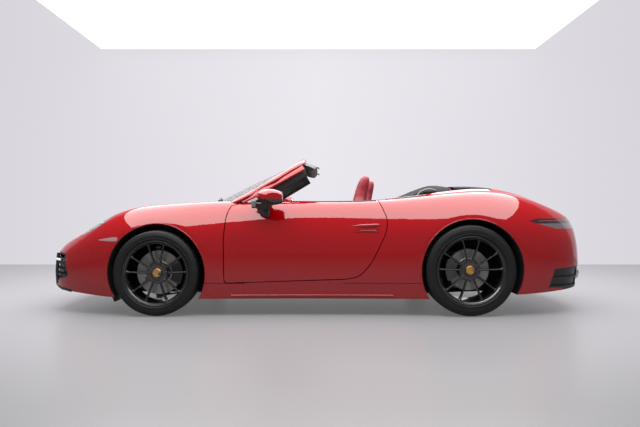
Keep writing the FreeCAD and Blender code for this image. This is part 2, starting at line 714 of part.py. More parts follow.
def rear_body():
    body = structure_body.common(box(tail_x, along(-180), 0, FAR, floor_low, TALL))
    cabin = box(along(-990), 0, 0, door_inner_y + 14, floor_top, TALL)
    top_well = box(along(-1430), along(-960), 0, across(596), height(640), TALL)
    hinge_pocket = box(engine_hinge.x - 86, engine_hinge.x + 16, ENGINE_HINGE_Y - 14, ENGINE_HINGE_Y + 14,
                       engine_hinge.z - 86, TALL)
    hinge_pin = Part.makeCylinder(size("hinge_pin_radius"), 32, engine_hinge - Vec(0, 16, 0), Vec(0, 1, 0))
    bay = box(along(-1990), along(-1380), 0, across(500), 0, height(700))
    bay = bay.fuse(box(along(-1990), along(-1520), 0, across(500), height(600), TALL))
    body = cut_all(body, [cabin, top_well, bay, rear_arch(0, across(600)), door_well, hinge_pocket,
                          side_block(UNDER_TAIL, 0, FAR),
                          under_lid(ENGINE_LID_LINE, skin + LID_FRAME_DEPTH + 7),
                          pipe_bores(size("pipe_radius") + 8),
                          side_block(TAIL_LAMP_LINE, 0, FAR, seat_gap).cut(half_body(30 + seat_gap)),
                          plan_block(SPOILER_LINE, height(600), TALL, seat_gap).cut(half_body(24 + seat_gap)),
                          valance_zone(0).cut(half_body(40 + seat_gap)),
                          box(along(FLOOR_REAR), 0, 0, FAR, 0, sill_top - 14 + seat_gap)])
    mounts = box(along(-1860), along(-1800), size("engine_width") / 2 + seat_gap, across(500) + 1,
                 height(330), height(380))
    return whole(body.fuse(hinge_pin).fuse(mounts))


# Doors

HANDLE_RECESS = [(-292, 652, 20), (-292, 730, 20), (-500, 730, 20), (-500, 652, 20)]
HANDLE_BAR = [(-300, 676, 8), (-300, 708, 8), (-492, 708, 8), (-492, 676, 8)]


def door():
    cover = skin_layer.common(door_full).common(box(-FAR, FAR, across(672), FAR, 0, height(905)))
    inner = half_body(skin).common(leaning_block(DOOR_LINE, DOOR_LEAN, door_hinge_y, -14))
    inner = inner.common(box(-FAR, FAR, door_inner_y, FAR, 0, height(868))).cut(door_hinge_pockets())
    recess = side_block(HANDLE_RECESS, across(700), FAR).cut(half_body(34))
    bar = half_body(-3).cut(half_body(11)).common(side_block(HANDLE_BAR, across(700), FAR))
    posts = half_body(10).cut(half_body(36)).common(side_block(HANDLE_BAR, across(700), FAR))
    posts = posts.cut(box(along(-468), along(-324), 0, FAR, 0, TALL))
    shell = cover.fuse(inner).cut(plan_block(PILLAR_FOOT_LINE, height(850), TALL, shut_gap))
    return shell.cut(recess).fuse(bar).fuse(posts).fuse(door_knuckles())


TRIM_LINE = [(610, 300, 40), (610, 866, 20), (-440, 872, 60), (-452, 620, 200), (-330, 420, 200),
             (-160, 312, 60)]
TRIM_INNER = [(700, 200), (700, 900), (665, 880, 10), (660, 700, 200), (668, 200)]
ARMREST_LINE = [(360, 590, 30), (300, 640, 30), (-330, 652, 30), (-360, 600, 30), (-300, 570, 20),
                (320, 560, 20)]
POCKET_LINE = [(420, 310, 30), (420, 400, 30), (-120, 410, 30), (-150, 325, 30)]


def door_trim():
    slab = side_block(TRIM_LINE, across(560), door_inner_y - seat_gap).common(front_block(TRIM_INNER, -FAR,
                                                                                          FAR))
    armrest = side_block(ARMREST_LINE, across(622), across(675))
    pocket = side_block(POCKET_LINE, across(634), across(675))
    return slab.fuse(armrest).fuse(pocket)


def ring(centre, direction, long_way, long_half, wide_half):
    direction = Vec(*direction).normalize()
    long_way = Vec(*long_way)
    long_way = (long_way - direction * long_way.dot(direction)).normalize()
    cross_way = direction.cross(long_way)
    start = place(*centre)
    ellipse = Part.Ellipse(start + long_way * long_half, start + cross_way * wide_half, start)
    if long_half < wide_half:
        ellipse = Part.Ellipse(start + cross_way * wide_half, start - long_way * long_half, start)
    return Part.Wire([ellipse.toShape()])


def loft(rings):
    return Part.makeLoft(rings, True, False)


MIRROR_SPLIT = 912


def mirror():
    shell = loft([ring((372, 838, 928), (0, 1, 0), (1, 0, 0.1), 60, 34),
                  ring((365, 862, 932), (0, 1, 0), (1, 0, 0.1), 92, 54),
                  ring((352, 920, 930), (0, 1, 0), (1, 0, 0.1), 112, 62),
                  ring((335, 975, 926), (0, 1, 0), (1, 0, 0.1), 104, 56),
                  ring((318, 1008, 922), (0, 1, 0), (1, 0, 0.1), 70, 36)])
    face = box(along(150), along(262), 0, FAR, 0, TALL)
    shell = shell.cut(face)
    foot = loft([ring((430, 742, 900), (0, 1, 0.15), (1, 0, 0.1), 62, 9),
                 ring((410, 800, 905), (0, 1, 0.15), (1, 0, 0.1), 56, 12),
                 ring((385, 850, 918), (0, 1, 0.15), (1, 0, 0.1), 46, 16)])
    base = half_body(-8).cut(half_body(-seat_gap)).common(
        side_block([(350, 862, 20), (520, 850, 20), (520, 905), (350, 912)], across(700), FAR))
    fixed = plan_block(PILLAR_FOOT_LINE, height(850), TALL, shut_gap)
    above = box(-FAR, FAR, across(810), FAR, height(MIRROR_SPLIT), TALL)
    below = box(-FAR, FAR, across(810), FAR, height(MIRROR_SPLIT) - seat_gap, TALL)
    lower = shell.fuse(foot).fuse(base).cut(fixed).cut(below)
    return Part.makeCompound([shell.common(above), lower])


# Windscreen

PILLAR_PATH = [(760, 742, 836), (640, 718, 900), (520, 694, 968), (400, 668, 1040), (290, 642, 1108),
               (205, 612, 1162), (150, 566, 1202), (128, 500, 1226), (124, 400, 1244), (126, 250, 1258),
               (128, 0, 1266)]


def windscreen_frame():
    path = PILLAR_PATH + [(x, -y, z) for x, y, z in reversed(PILLAR_PATH[:-1])]
    rings = []
    for k, point in enumerate(path):
        before = Vec(*path[max(k - 1, 0)])
        after = Vec(*path[min(k + 1, len(path) - 1)])
        run = after - before
        face_up = Vec(0.45, 0.35 * point[1] / 700, 1)
        rings.append(ring(point, tuple(run), tuple(run.cross(face_up)), 34, 20))
    return loft(rings)


def pillar_foot_panel():
    panel = skin_layer.common(pillar_foot_zone)
    panel = panel.common(leaning_block(DOOR_LINE, DOOR_LEAN, door_hinge_y, shut_gap - seat_gap))
    return panel.cut(cabin_zone)


def glass_surface(depth):
    rows = [[(680, 712, 878), (840, 520, 884), (905, 260, 888), (918, 0, 890)],
            [(500, 684, 980), (600, 500, 1004), (655, 250, 1020), (668, 0, 1024)],
            [(310, 640, 1094), (370, 470, 1124), (405, 240, 1146), (414, 0, 1152)],
            [(128, 560, 1208), (134, 400, 1240), (140, 200, 1256), (140, 0, 1262)]]
    poles = []
    for row in rows:
        line = [place(*p) for p in row]
        line += [Vec(p.x, -p.y, p.z) for p in reversed(line[:-1])]
        poles.append([p - Vec(0.45, 0, 0.89) * depth for p in line])
    surface = Part.BSplineSurface()
    surface.buildFromPolesMultsKnots(poles, [4, 4], [4, 1, 1, 1, 4], [0, 1], [0, 1, 2, 3, 4], False, False,
                                     3, 3)
    return surface


def windscreen():
    return glass_surface(0).toShape().extrude(Vec(-2.6, 0, -4.6))


def wipers_and_cowl():
    cover = half_body(16).cut(half_body(COWL_DEPTH)).common(plan_block(COWL_LINE, height(700),
                                                                       TALL)).cut(lid_gap_block)
    cover = cover.cut(glass_block(seat_gap))
    slot = box(luggage_hinge.x - 18, FAR, LUGGAGE_HINGE_Y - 24, LUGGAGE_HINGE_Y + 24, 0, TALL)
    cover = cover.cut(box(-FAR, along(742), 0, FAR, 0, TALL)).cut(slot)
    return whole(cover)


def glass_block(spread):
    up = Vec(-0.49, 0, 0.87)
    low = glass_surface(0).toShape()
    low.translate(up * -(spread + 5.3))
    return low.extrude(up * (5.3 + 2 * spread))


# Inside

def dashboard():
    side = [(470, 600, 30), (440, 700, 40), (465, 790, 50), (560, 842, 120), (700, 858, 60),
            (BULKHEAD_X - seat_gap, 850, 10), (BULKHEAD_X - seat_gap, 640, 10), (640, 560, 60)]
    body = side_block(side, 0, across(632))
    body = body.common(half_body(COWL_DEPTH + 6))
    binnacle = side_block([(420, 740, 30), (432, 846, 40), (560, 880, 60), (640, 850, 20), (640, 740, 20)],
                          across(205), across(540))
    binnacle = binnacle.common(front_block([(210, 700, 10), (210, 850, 50), (372, 888, 300), (535, 850, 50),
                                            (535, 700, 10)],
                                           -FAR, FAR)).cut(glass_block(2))
    column_bore = Part.makeCylinder(COLUMN_RADIUS + size("bearing_gap"), 300, Vec(0, 0, -300))
    return body.fuse(mirrored(body)).fuse(binnacle).cut(on_column(column_bore)).removeSplitter()


COLUMN_RADIUS = 22.0
SEAT_Y = 358.0
STEERING_CENTRE = (300, SEAT_Y, 742)
STEERING_TILT = 66.0


def on_column(shape):
    shape.rotate(Vec(0, 0, 0), Vec(0, 1, 0), -STEERING_TILT)
    shape.translate(place(*STEERING_CENTRE))
    return shape


def centre_console():
    low = TUNNEL_TOP + seat_gap
    side = [(-300, low), (-330, 400, 40), (-300, 470, 40), (-60, 480, 60), (60, 420, 60), (300, 430, 60),
            (455, 560, 30), (560, 555, 10), (640, 400, 30), (640, low)]
    top = [(640, 130, 20), (100, 105, 100), (-330, 100, 30), (-330, -100, 30), (100, -105, 100),
           (640, -130, 20)]
    return side_block(side, across(-160), across(160)).common(plan_block(top, TUNNEL_TOP + seat_gap, TALL))


def front_seat():
    squab = side_block([(330, 300, 60), (345, 385, 50), (120, 400, 300), (-160, 372, 100), (-230, 330, 60),
                        (-230, 230, 40), (280, 215, 40)], -260, 260)
    squab = squab.common(plan_block([(350, 232, 110), (350, -232, 110), (-240, -225, 60), (-240, 225, 60)],
                                    0, TALL))
    back = side_block([(-170, 352, 60), (-300, 700, 600), (-372, 930, 200), (-420, 1120, 40),
                       (-478, 1150, 30), (-512, 1090, 60),
                       (-440, 800, 400), (-330, 330, 60), (-250, 300, 40)], -260, 260)
    back = back.common(front_block([(-222, 250, 40), (-244, 560, 200), (-238, 800, 160), (-150, 960, 140),
                                    (-128, 1146, 60),
                                    (128, 1146, 60), (150, 960, 140), (238, 800, 160), (244, 560, 200),
                                    (222, 250, 40)],
                                   -FAR, FAR))
    rails = box(along(-150), along(250), -210, -180, floor_top + seat_gap, height(260))
    rails = rails.fuse(mirrored(rails))
    seat = squab.fuse(back).fuse(rails)
    return seat


SEAT_SLIDE = {"driver": 45.0, "passenger": -60.0}


def seat_at(y, slide):
    seat = front_seat()
    seat.translate(Vec(slide, across(y), 0))
    return seat


def rear_seats():
    low = floor_top + seat_gap
    side = [(-560, 330, 60), (-545, 450, 50), (-820, 430, 100), (-900, 640, 300), (-930, 850, 30),
            (-980, 862, 20), (-988, low), (-660, low), (-620, 260, 60)]
    seat = side_block(side, across(60), across(600))
    seat = seat.common(front_block([(130, low), (130, 830, 60), (560, 830, 90), (590, 600, 60), (590, low)],
                                   -FAR, FAR))
    return both(seat)


def folded_top():
    side = [(-560, 905, 30), (-700, 925, 200), (-860, 985, 120), (-1000, 1050, 100), (-1190, 1062, 100),
            (-1192, 700, 20), (-1000, 660, 30), (-985, 885, 20), (-900, 880, 20), (-560, 880, 10)]
    fabric = side_block(side, 0, across(640))
    fabric = fabric.common(plan_block([(-550, -10), (-550, 300), (-560, 655, 60), (-900, 618, 600),
                                       (-1195, 570, 60), (-1195, -10)], 0, TALL))
    rise = front_block([(-10, 600), (700, 600), (652, 900, 60), (560, 1010, 160), (-10, 1062)], -FAR, FAR)
    fabric = fabric.common(rise)
    well = box(along(-991), along(-500), -1, across(560), 0, height(893))
    beside = box(-FAR, FAR, across(590), FAR, 0, TALL).common(half_body(-1))
    over_body = box(along(-991), FAR, across(560), FAR, 0, TALL).common(half_body(-1))
    lid = plan_block(TOP_LID_LINE, 0, TALL, 1)
    return whole(cut_all(fabric, [well, beside, over_body, lid]))


ENGINE_LEVEL = 400.0
ENGINE_BEHIND_AXLE = 459.5


# Wheels, brakes and what carries them

def turned(profile):
    points = [Vec(r, y, 0) for r, y in profile]
    face = Part.Face(Part.makePolygon(points + points[:1]))
    return face.revolve(Vec(0, 0, 0), Vec(0, 1, 0), 360)


def wheel_place(axle):
    middle = "(sizes.front_overhang + sizes.wheelbase + sizes.rear_overhang) / 2 - sizes.front_overhang"
    if axle == "rear":
        middle += " - sizes.wheelbase"
    return [middle, "sizes.%s_track / 2" % axle, "sizes.%s_tyre_radius" % axle]


def bound_section(body, label, corners, turn=0.0):
    # the corners start on a circle, and the bindings carry them to their places
    sketch = body.newObject("Sketcher::SketchObject", label)
    plane = [item for item in body.Origin.OriginFeatures if item.Role == "XY_Plane"][0]
    sketch.AttachmentSupport = [(plane, "")]
    sketch.MapMode = "FlatFace"
    sketch.AttachmentOffset = FreeCAD.Placement(Vec(0, 0, 0), FreeCAD.Rotation(Vec(0, 1, 0), turn))
    count = len(corners)
    starts = [Vec(300 + 100 * math.cos(math.tau * k / count), 100 * math.sin(math.tau * k / count),
                  0) for k in range(count)]
    for k in range(count):
        sketch.addGeometry(Part.LineSegment(starts[k], starts[(k + 1) % count]), False)
    for k in range(count):
        sketch.addConstraint(Sketcher.Constraint("Coincident", k, 2, (k + 1) % count, 1))
    for k, corner in enumerate(corners):
        for kind, text in zip(("DistanceX", "DistanceY"), corner):
            number = sketch.addConstraint(Sketcher.Constraint(kind, -1, 1, k, 1, 50.0))
            sketch.setExpression("Constraints[%d]" % number, text)
    return sketch


def turned_feature(body, label, corners):
    section = bound_section(body, label + "_section", corners)
    feature = body.newObject("PartDesign::Revolution", label)
    feature.Profile = section
    feature.ReferenceAxis = (section, ["V_Axis"])
    feature.Angle = 360
    return section


def wheel_body(label, axle, left):
    body = doc.addObject("PartDesign::Body", label)
    turn = FreeCAD.Rotation(Vec(0, 1, 0), SPOKE_START)
    if not left:
        turn = FreeCAD.Rotation(Vec(0, 0, 1), 180) * turn
    body.Placement = FreeCAD.Placement(Vec(0, 0, 0), turn)
    x, y, z = wheel_place(axle)
    body.setExpression("Placement.Base.x", x)
    body.setExpression("Placement.Base.y", y if left else "-" + y)
    body.setExpression("Placement.Base.z", z)
    parts[label] = body
    return body


def make_tyre(axle, side):
    body = wheel_body("tyre_%s_%s" % (axle, side), axle, side == "left")
    tread = "sizes.%s_tyre_radius" % axle
    flange = "sizes.%s_rim_radius" % axle
    half = "sizes.%s_tyre_width / 2" % axle
    right = [(flange + " - 13", half + " - 22"), ("(%s + %s) / 2" % (tread, flange), half),
             (tread, half + " - 32")]
    left = [(reach, "-(%s)" % out) for reach, out in reversed(right)]
    turned_feature(body, body.Name + "_tread_and_walls", left + right)


HUB_FACE = {"front": 35.0, "rear": 60.0}
DISC_Y = {"front": -20.0, "rear": 5.0}
SPOKE_START = 54.0
SPOKE_PAIR_HALF = 15.5
SPOKE_WIDE = 18.0


def make_rim(axle, side):
    body = wheel_body("rim_%s_%s" % (axle, side), axle, side == "left")
    name = body.Name
    flange = "sizes.%s_rim_radius" % axle
    half = "(sizes.%s_tyre_width / 2 - 8)" % axle
    hub = "%g" % HUB_FACE[axle]
    barrel = [(flange + " - 13.3", "-%s + 14" % half), (flange + " - 13.3", half + " - 14"),
              (flange, half + " - 6.5"),
              (flange, half), (flange + " - 9", half), (flange + " - 21.3", half + " - 20"),
              (flange + " - 27.3", half + " - 60"), (flange + " - 27.3", "-%s + 30" % half),
              (flange + " - 21.3", "-" + half), (flange, "-" + half), (flange, "-%s + 6.5" % half)]
    centre = [("0", half + " - 64"), ("34", half + " - 64"), ("34", hub), ("82", hub), ("82", hub + " + 26"),
              ("64", half + " - 44"), ("34", half + " - 48"), ("34", half + " - 50"), ("0", half + " - 50")]
    arm = [("60", hub + " + 4"), (flange + " - 23.3", half + " - 52"), (flange + " - 22.3", half + " - 17"),
           (flange + " - 53.3", half + " - 18"), ("66", half + " - 50")]
    turned_feature(body, name + "_barrel", barrel)
    section = turned_feature(body, name + "_centre", centre)
    spokes = []
    for k, turn in enumerate((-SPOKE_PAIR_HALF, SPOKE_PAIR_HALF)):
        spoke = body.newObject("PartDesign::Pad", "%s_spoke_%d" % (name, k + 1))
        spoke.Profile = bound_section(body, "%s_spoke_%d_section" % (name, k + 1), arm, turn)
        spoke.Length = SPOKE_WIDE
        spoke.SideType = "Symmetric"
        spokes.append(spoke)
    hole = body.newObject("PartDesign::SubtractiveCylinder", name + "_bolt_hole")
    hole.Radius = 12
    hole.Height = 60
    hole.Placement = FreeCAD.Placement(Vec(0, 0, 0), FreeCAD.Rotation(Vec(1, 0, 0), -90))
    hole.setExpression("Placement.Base.x", "sizes.wheel_pin_circle / 2")
    hole.setExpression("Placement.Base.y", half + " - 54")
    pattern = body.newObject("PartDesign::PolarPattern", name + "_all_spokes")
    pattern.Originals = spokes + [hole]
    pattern.Axis = (section, ["V_Axis"])
    pattern.Angle = 360
    pattern.Occurrences = 5
    body.Tip = pattern


def make_disc(axle, side):
    body = wheel_body("brake_disc_%s_%s" % (axle, side), axle, side == "left")
    middle = DISC_Y[axle]
    hub = "%g - sizes.seat_gap" % HUB_FACE[axle]
    bore = "sizes.spindle_radius + sizes.bearing_gap"
    reach = "sizes.%s_disc_radius" % axle
    low = "%g - sizes.disc_thickness / 2" % middle
    high = "%g + sizes.disc_thickness / 2" % middle
    turned_feature(body, body.Name + "_turned", [
        (bore, low + " - 4"), ("92", low + " - 4"), ("92", low), (reach, low), (reach, high), ("94", high),
        ("86", hub), (bore, hub)])


def primitive(kind, label, place_at=None, **links):
    thing = doc.addObject("Part::" + kind, label)
    if place_at is not None:
        thing.Placement = place_at
    for name, text in links.items():
        thing.setExpression(name, text)
    return thing


def make_engine():
    block = primitive("Box", "engine_block", Length="sizes.engine_length", Width="sizes.engine_width",
                      Height="sizes.engine_height")
    x, y, z = wheel_place("rear")
    block.setExpression("Placement.Base.x", "%s - %g - sizes.engine_length / 2" % (x, ENGINE_BEHIND_AXLE))
    block.setExpression("Placement.Base.y", "-sizes.engine_width / 2")
    block.setExpression("Placement.Base.z", "%g - sizes.engine_height / 2" % height(ENGINE_LEVEL))
    parts["engine_block"] = block


def make_tailpipes():
    pipes = []
    for k, y in enumerate([side * across(place_y) for side in (1, -1) for place_y in PIPE_PLACES], start=1):
        start = Vec(along(PIPE_START_X), y, height(PIPE_HEIGHT))
        backwards = FreeCAD.Rotation(Vec(0, 0, 1), Vec(-1, 0, 0))
        tube = primitive("Cylinder", "pipe_%d_outside" % k, FreeCAD.Placement(start, backwards),
                         Radius="sizes.pipe_radius")
        tube.Height = 215
        inside = primitive("Cylinder", "pipe_%d_inside" % k, FreeCAD.Placement(start - Vec(40, 0, 0),
                                                                               backwards),
                           Radius="sizes.pipe_radius - 4")
        inside.Height = 180
        pipe = doc.addObject("Part::Cut", "pipe_%d" % k)
        pipe.Base = tube
        pipe.Tool = inside
        pipes.append(pipe)
    whole_set = doc.addObject("Part::Compound", "tailpipes")
    whole_set.Links = pipes
    parts["tailpipes"] = whole_set


def make_steering_wheel():
    grip = 15.0
    reach = "(sizes.steering_wheel_radius - %g)" % grip
    rim = primitive("Torus", "wheel_grip", Radius1=reach)
    rim.Radius2 = grip
    hub = primitive("Cylinder", "wheel_hub", FreeCAD.Placement(Vec(0, 0, -26), FreeCAD.Rotation()))
    hub.Radius = 62
    hub.Height = 42
    bar = primitive("Box", "wheel_cross_spoke", FreeCAD.Placement(Vec(-17, 0, -12), FreeCAD.Rotation()),
                    Width="2 * " + reach)
    bar.setExpression("Placement.Base.y", "-" + reach)
    bar.Length = 34
    bar.Height = 18
    low_spoke = primitive("Box", "wheel_low_spoke", FreeCAD.Placement(Vec(0, -14, -12), FreeCAD.Rotation()),
                          Length=reach)
    low_spoke.Width = 28
    low_spoke.Height = 18
    column = primitive("Cylinder", "steering_column", FreeCAD.Placement(Vec(0, 0, -200), FreeCAD.Rotation()))
    column.Radius = COLUMN_RADIUS
    column.Height = 190
    wheel = doc.addObject("Part::MultiFuse", "steering_wheel")
    wheel.Shapes = [rim, hub, bar, low_spoke, column]
    wheel.Placement = FreeCAD.Placement(place(*STEERING_CENTRE), FreeCAD.Rotation(Vec(0, 1, 0),
                                                                                  -STEERING_TILT))
    parts["steering_wheel"] = wheel


def sector(r_low, r_high, y_low, y_high, start, sweep):
    points = [Vec(r_low, y_low, 0), Vec(r_high, y_low, 0), Vec(r_high, y_high, 0), Vec(r_low, y_high, 0)]
    face = Part.Face(Part.makePolygon(points + points[:1]))
    face.rotate(Vec(0, 0, 0), Vec(0, 1, 0), start)
    return face.revolve(Vec(0, 0, 0), Vec(0, 1, 0), sweep)


def caliper(disc_radius, disc_y, behind):
    thick = size("disc_thickness")
    start = 152 if behind else -28
    body = sector(disc_radius - 62, disc_radius + 20, disc_y - thick / 2 - 36, disc_y + thick / 2 + 36,
                  start, 56)
    slot = sector(disc_radius - 80, disc_radius + 6, disc_y - thick / 2 - 6, disc_y + thick / 2 + 6,
                  start - 5, 66)
    return body.cut(slot)


EYE_LOW = 181.0
EYE_HIGH = 191.0
ARM_LOW = 193.5
ARM_HIGH = 205.0
PIN_RADIUS = 8.0


def upright(disc_y, height_half):
    inner = disc_y - size("disc_thickness") / 2 - 10
    web = box(-38, 38, inner - 46, inner, -height_half, height_half)
    web = web.common(turned([(0, inner - 46), (height_half, inner - 46), (height_half, inner), (0, inner)]))
    return web, inner


def knuckle():
    web, inner = upright(DISC_Y["front"], EYE_HIGH)
    spindle = Part.makeCylinder(size("spindle_radius"), HUB_FACE["front"] - 4 - inner, Vec(0, inner, 0),
                                Vec(0, 1, 0))
    body = web.fuse(spindle)
    for level in (EYE_LOW, -EYE_HIGH):
        plate = box(-18, 18, inner - 40, 0, level, level + EYE_HIGH - EYE_LOW)
        eye = Part.makeCylinder(18, EYE_HIGH - EYE_LOW, Vec(0, 0, level))
        body = body.fuse(plate).fuse(eye)
    body = body.cut(Part.makeCylinder(PIN_RADIUS + size("bearing_gap"), 2 * EYE_HIGH + 2,
                                      Vec(0, 0, -EYE_HIGH - 1))
                    .cut(box(-20, 20, -20, 20, -EYE_LOW, EYE_LOW)))
    bracket = box(-150, -30, inner - 40, inner - 4, -30, 30)
    steering_arm = box(-130, -30, inner - 46, inner - 26, -70, -50)
    brake = caliper(size("front_disc_radius"), DISC_Y["front"], True)
    return body.fuse(bracket).fuse(steering_arm).fuse(brake).removeSplitter()


def wishbone(level, to_body):
    plan = [(18, 10), (18, -150), (70, -235), (130, to_body), (90, to_body), (44, -240), (0, -180),
            (-44, -240), (-90, to_body), (-130, to_body), (-70, -235), (-18, -150), (-18, 10)]
    points = [Vec(x, y, level) for x, y in plan]
    face = Part.Face(Part.makePolygon(points + points[:1]))
    return face.extrude(Vec(0, 0, ARM_HIGH - ARM_LOW))


def spring_leg(bottom, top, radius):
    run = top - bottom
    length = run.Length
    turns = 6
    profile = [(0, 0), (26, 0)]
    for k in range(turns):
        low = length * (0.30 + 0.60 * k / turns)
        profile.append((radius - 14, low))
        profile.append((radius, low + length * 0.05))
    profile += [(radius - 14, length * 0.9), (radius + 4, length * 0.92), (radius + 4, length), (0, length)]
    points = [Vec(r, 0, z) for r, z in profile]
    face = Part.Face(Part.makePolygon(points + points[:1]))
    leg = face.revolve(Vec(0, 0, 0), Vec(0, 0, 1), 360)
    leg.Placement = FreeCAD.Placement(bottom, FreeCAD.Rotation(Vec(0, 0, 1), run))
    return leg


def front_suspension():
    centre = Vec(front_axle_x, front_wheel_y, front_wheel_z)
    to_body = across(500) - front_wheel_y + seat_gap
    side = wishbone(ARM_LOW, to_body).fuse(wishbone(-ARM_HIGH, to_body))
    pin = Part.makeCylinder(PIN_RADIUS, ARM_HIGH - EYE_LOW - 3, Vec(0, 0, EYE_LOW + 3))
    side = side.fuse(pin).fuse(Part.makeCylinder(PIN_RADIUS, ARM_HIGH - EYE_LOW - 3, Vec(0, 0, -ARM_HIGH)))
    top = math.sqrt(front_arch_radius ** 2 - 36 ** 2) - seat_gap
    side = side.fuse(spring_leg(Vec(0, -235, -ARM_LOW - 6), Vec(0, -238, top), 32))
    side = side.fuse(box(-30, 30, -262, -205, -ARM_HIGH, -ARM_LOW))
    side.translate(centre)
    return both(side)


def rear_suspension():
    centre = Vec(rear_axle_x, rear_wheel_y, rear_wheel_z)
    to_body = across(600) - rear_wheel_y + seat_gap
    web, inner = upright(DISC_Y["rear"], 160)
    spindle = Part.makeCylinder(size("spindle_radius"), HUB_FACE["rear"] - 4 - inner, Vec(0, inner, 0),
                                Vec(0, 1, 0))
    side = web.fuse(spindle)
    for level in (-150, 110):
        side = side.fuse(box(-110, -80, to_body, inner - 20, level, level + 26))
        side = side.fuse(box(80, 110, to_body, inner - 20, level, level + 26))
        side = side.fuse(box(-110, 110, inner - 46, inner - 16, level, level + 26))
    bracket = box(30, 150, inner - 40, inner - 4, -30, 30)
    side = side.fuse(bracket).fuse(caliper(size("rear_disc_radius"), DISC_Y["rear"], False))
    side.translate(centre)
    return both(side)


# Putting the car together

def add_part(label, shape, position=None):
    feature = doc.addObject("Part::Feature", label)
    feature.Label = label
    feature.Shape = shape
    if position is not None:
        feature.Placement = FreeCAD.Placement(position, FreeCAD.Rotation())
    parts[label] = feature


def at(shape, x, y, z, flip=False):
    moved = mirrored(shape) if flip else shape.copy()
    moved.translate(Vec(x, y, z))
    return moved


add_part("floor_pan", floor_pan())
add_part("front_body", front_body())
add_part("rear_body", rear_body())
add_part("front_bumper", front_bumper())
add_part("front_intakes", front_intakes())
add_part("front_wings", front_wings())
add_part("headlamps", headlamps())
add_part("side_skirts", side_skirts())
add_part("rear_quarters", rear_quarters())
add_part("rear_bumper", rear_bumper())
add_part("rear_valance", rear_valance())
make_tailpipes()
add_part("tail_lamp", tail_lamp())
add_part("rear_spoiler", rear_spoiler())
add_part("top_lid", top_lid())
add_part("folded_top", folded_top())
glass_cutter = glass_block(seat_gap)
whole_body = outer_body.fuse(mirrored(outer_body))
pillar_foot = both(pillar_foot_panel())
add_part("windscreen_frame", windscreen_frame().cut(whole_body).fuse(pillar_foot).cut(glass_cutter))
add_part("windscreen", glass_block(0).cut(whole_body))
add_part("wipers_and_cowl", wipers_and_cowl())
add_part("dashboard", dashboard())
add_part("centre_console", centre_console())
add_part("driver_seat", seat_at(SEAT_Y, SEAT_SLIDE["driver"]))
add_part("passenger_seat", seat_at(-SEAT_Y, SEAT_SLIDE["passenger"]))
add_part("rear_seats", rear_seats())
make_engine()
add_part("front_suspension", front_suspension())
add_part("rear_suspension", rear_suspension())
add_part("luggage_lid", luggage_lid())
add_part("engine_lid", engine_lid())
add_part("lid_grille", lid_grille())
left_door = door()
add_part("door_left", left_door)
add_part("door_right", mirrored(left_door))
left_trim = door_trim()
add_part("door_trim_left", left_trim)
add_part("door_trim_right", mirrored(left_trim))
left_mirror = mirror()
add_part("mirror_left", left_mirror)
add_part("mirror_right", mirrored(left_mirror))
make_steering_wheel()
left_knuckle = knuckle()
add_part("knuckle_left", at(left_knuckle, front_axle_x, front_wheel_y, front_wheel_z))
add_part("knuckle_right", at(left_knuckle, front_axle_x, -front_wheel_y, front_wheel_z, True))
for axle in ("front", "rear"):
    for side in ("left", "right"):
        make_tyre(axle, side)
        make_rim(axle, side)
        make_disc(axle, side)

doc.recompute()
for thing in doc.Objects:
    if "Invalid" in thing.State or "Error" in thing.State:
        raise RuntimeError("%s did not compute" % thing.Label)
for label, feature in parts.items():
    if feature.Shape.isNull() or not feature.Shape.isValid():
        raise RuntimeError("%s has no valid shape" % label)

os.makedirs("parts", exist_ok=True)
for label, feature in parts.items():
    feature.Shape.exportStep("parts/%s.step" % label)
    print(label, len(feature.Shape.Solids), round(feature.Shape.Volume / 1e6, 2))
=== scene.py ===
import json
import math

import bmesh
import bpy
from mathutils import Matrix, Vector
from mathutils.bvhtree import BVHTree


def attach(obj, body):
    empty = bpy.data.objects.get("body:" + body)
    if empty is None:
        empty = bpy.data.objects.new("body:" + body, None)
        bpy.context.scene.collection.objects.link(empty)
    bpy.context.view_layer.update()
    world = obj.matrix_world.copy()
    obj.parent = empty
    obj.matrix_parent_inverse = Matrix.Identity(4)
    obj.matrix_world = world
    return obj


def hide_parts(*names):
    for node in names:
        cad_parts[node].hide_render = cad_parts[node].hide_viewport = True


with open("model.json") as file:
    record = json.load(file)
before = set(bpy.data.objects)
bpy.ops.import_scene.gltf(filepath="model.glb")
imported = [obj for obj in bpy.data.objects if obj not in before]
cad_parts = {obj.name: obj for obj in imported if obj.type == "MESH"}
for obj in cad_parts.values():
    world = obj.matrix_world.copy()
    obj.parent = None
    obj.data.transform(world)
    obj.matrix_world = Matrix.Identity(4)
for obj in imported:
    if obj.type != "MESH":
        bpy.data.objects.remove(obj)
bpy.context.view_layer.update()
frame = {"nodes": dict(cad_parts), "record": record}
nodes = frame["nodes"]
print("frame loaded:", len(nodes), "nodes")

# Photograph: the camera is level with the door handles and looks along -Y at the car's left side
photoView = {"width": 640, "focalPixels": 581, "place": (-0.0275, 5.4, 0.801), "sensorWidth": 36,
             "farthest": 60}

camera = bpy.data.objects.new("photoCamera", bpy.data.cameras.new("photoCamera"))
scene = bpy.context.scene
scene.collection.objects.link(camera)
camera.location = photoView["place"]
camera.rotation_euler = (math.pi / 2, 0, math.pi)
camera.data.sensor_width = photoView["sensorWidth"]
camera.data.lens = photoView["sensorWidth"] * photoView["focalPixels"] / photoView["width"]
camera.data.clip_end = photoView["farthest"]
scene.camera = camera
scene.view_settings.view_transform = "Standard"


# Shared effects: node groups that give a height and a mask for each finish

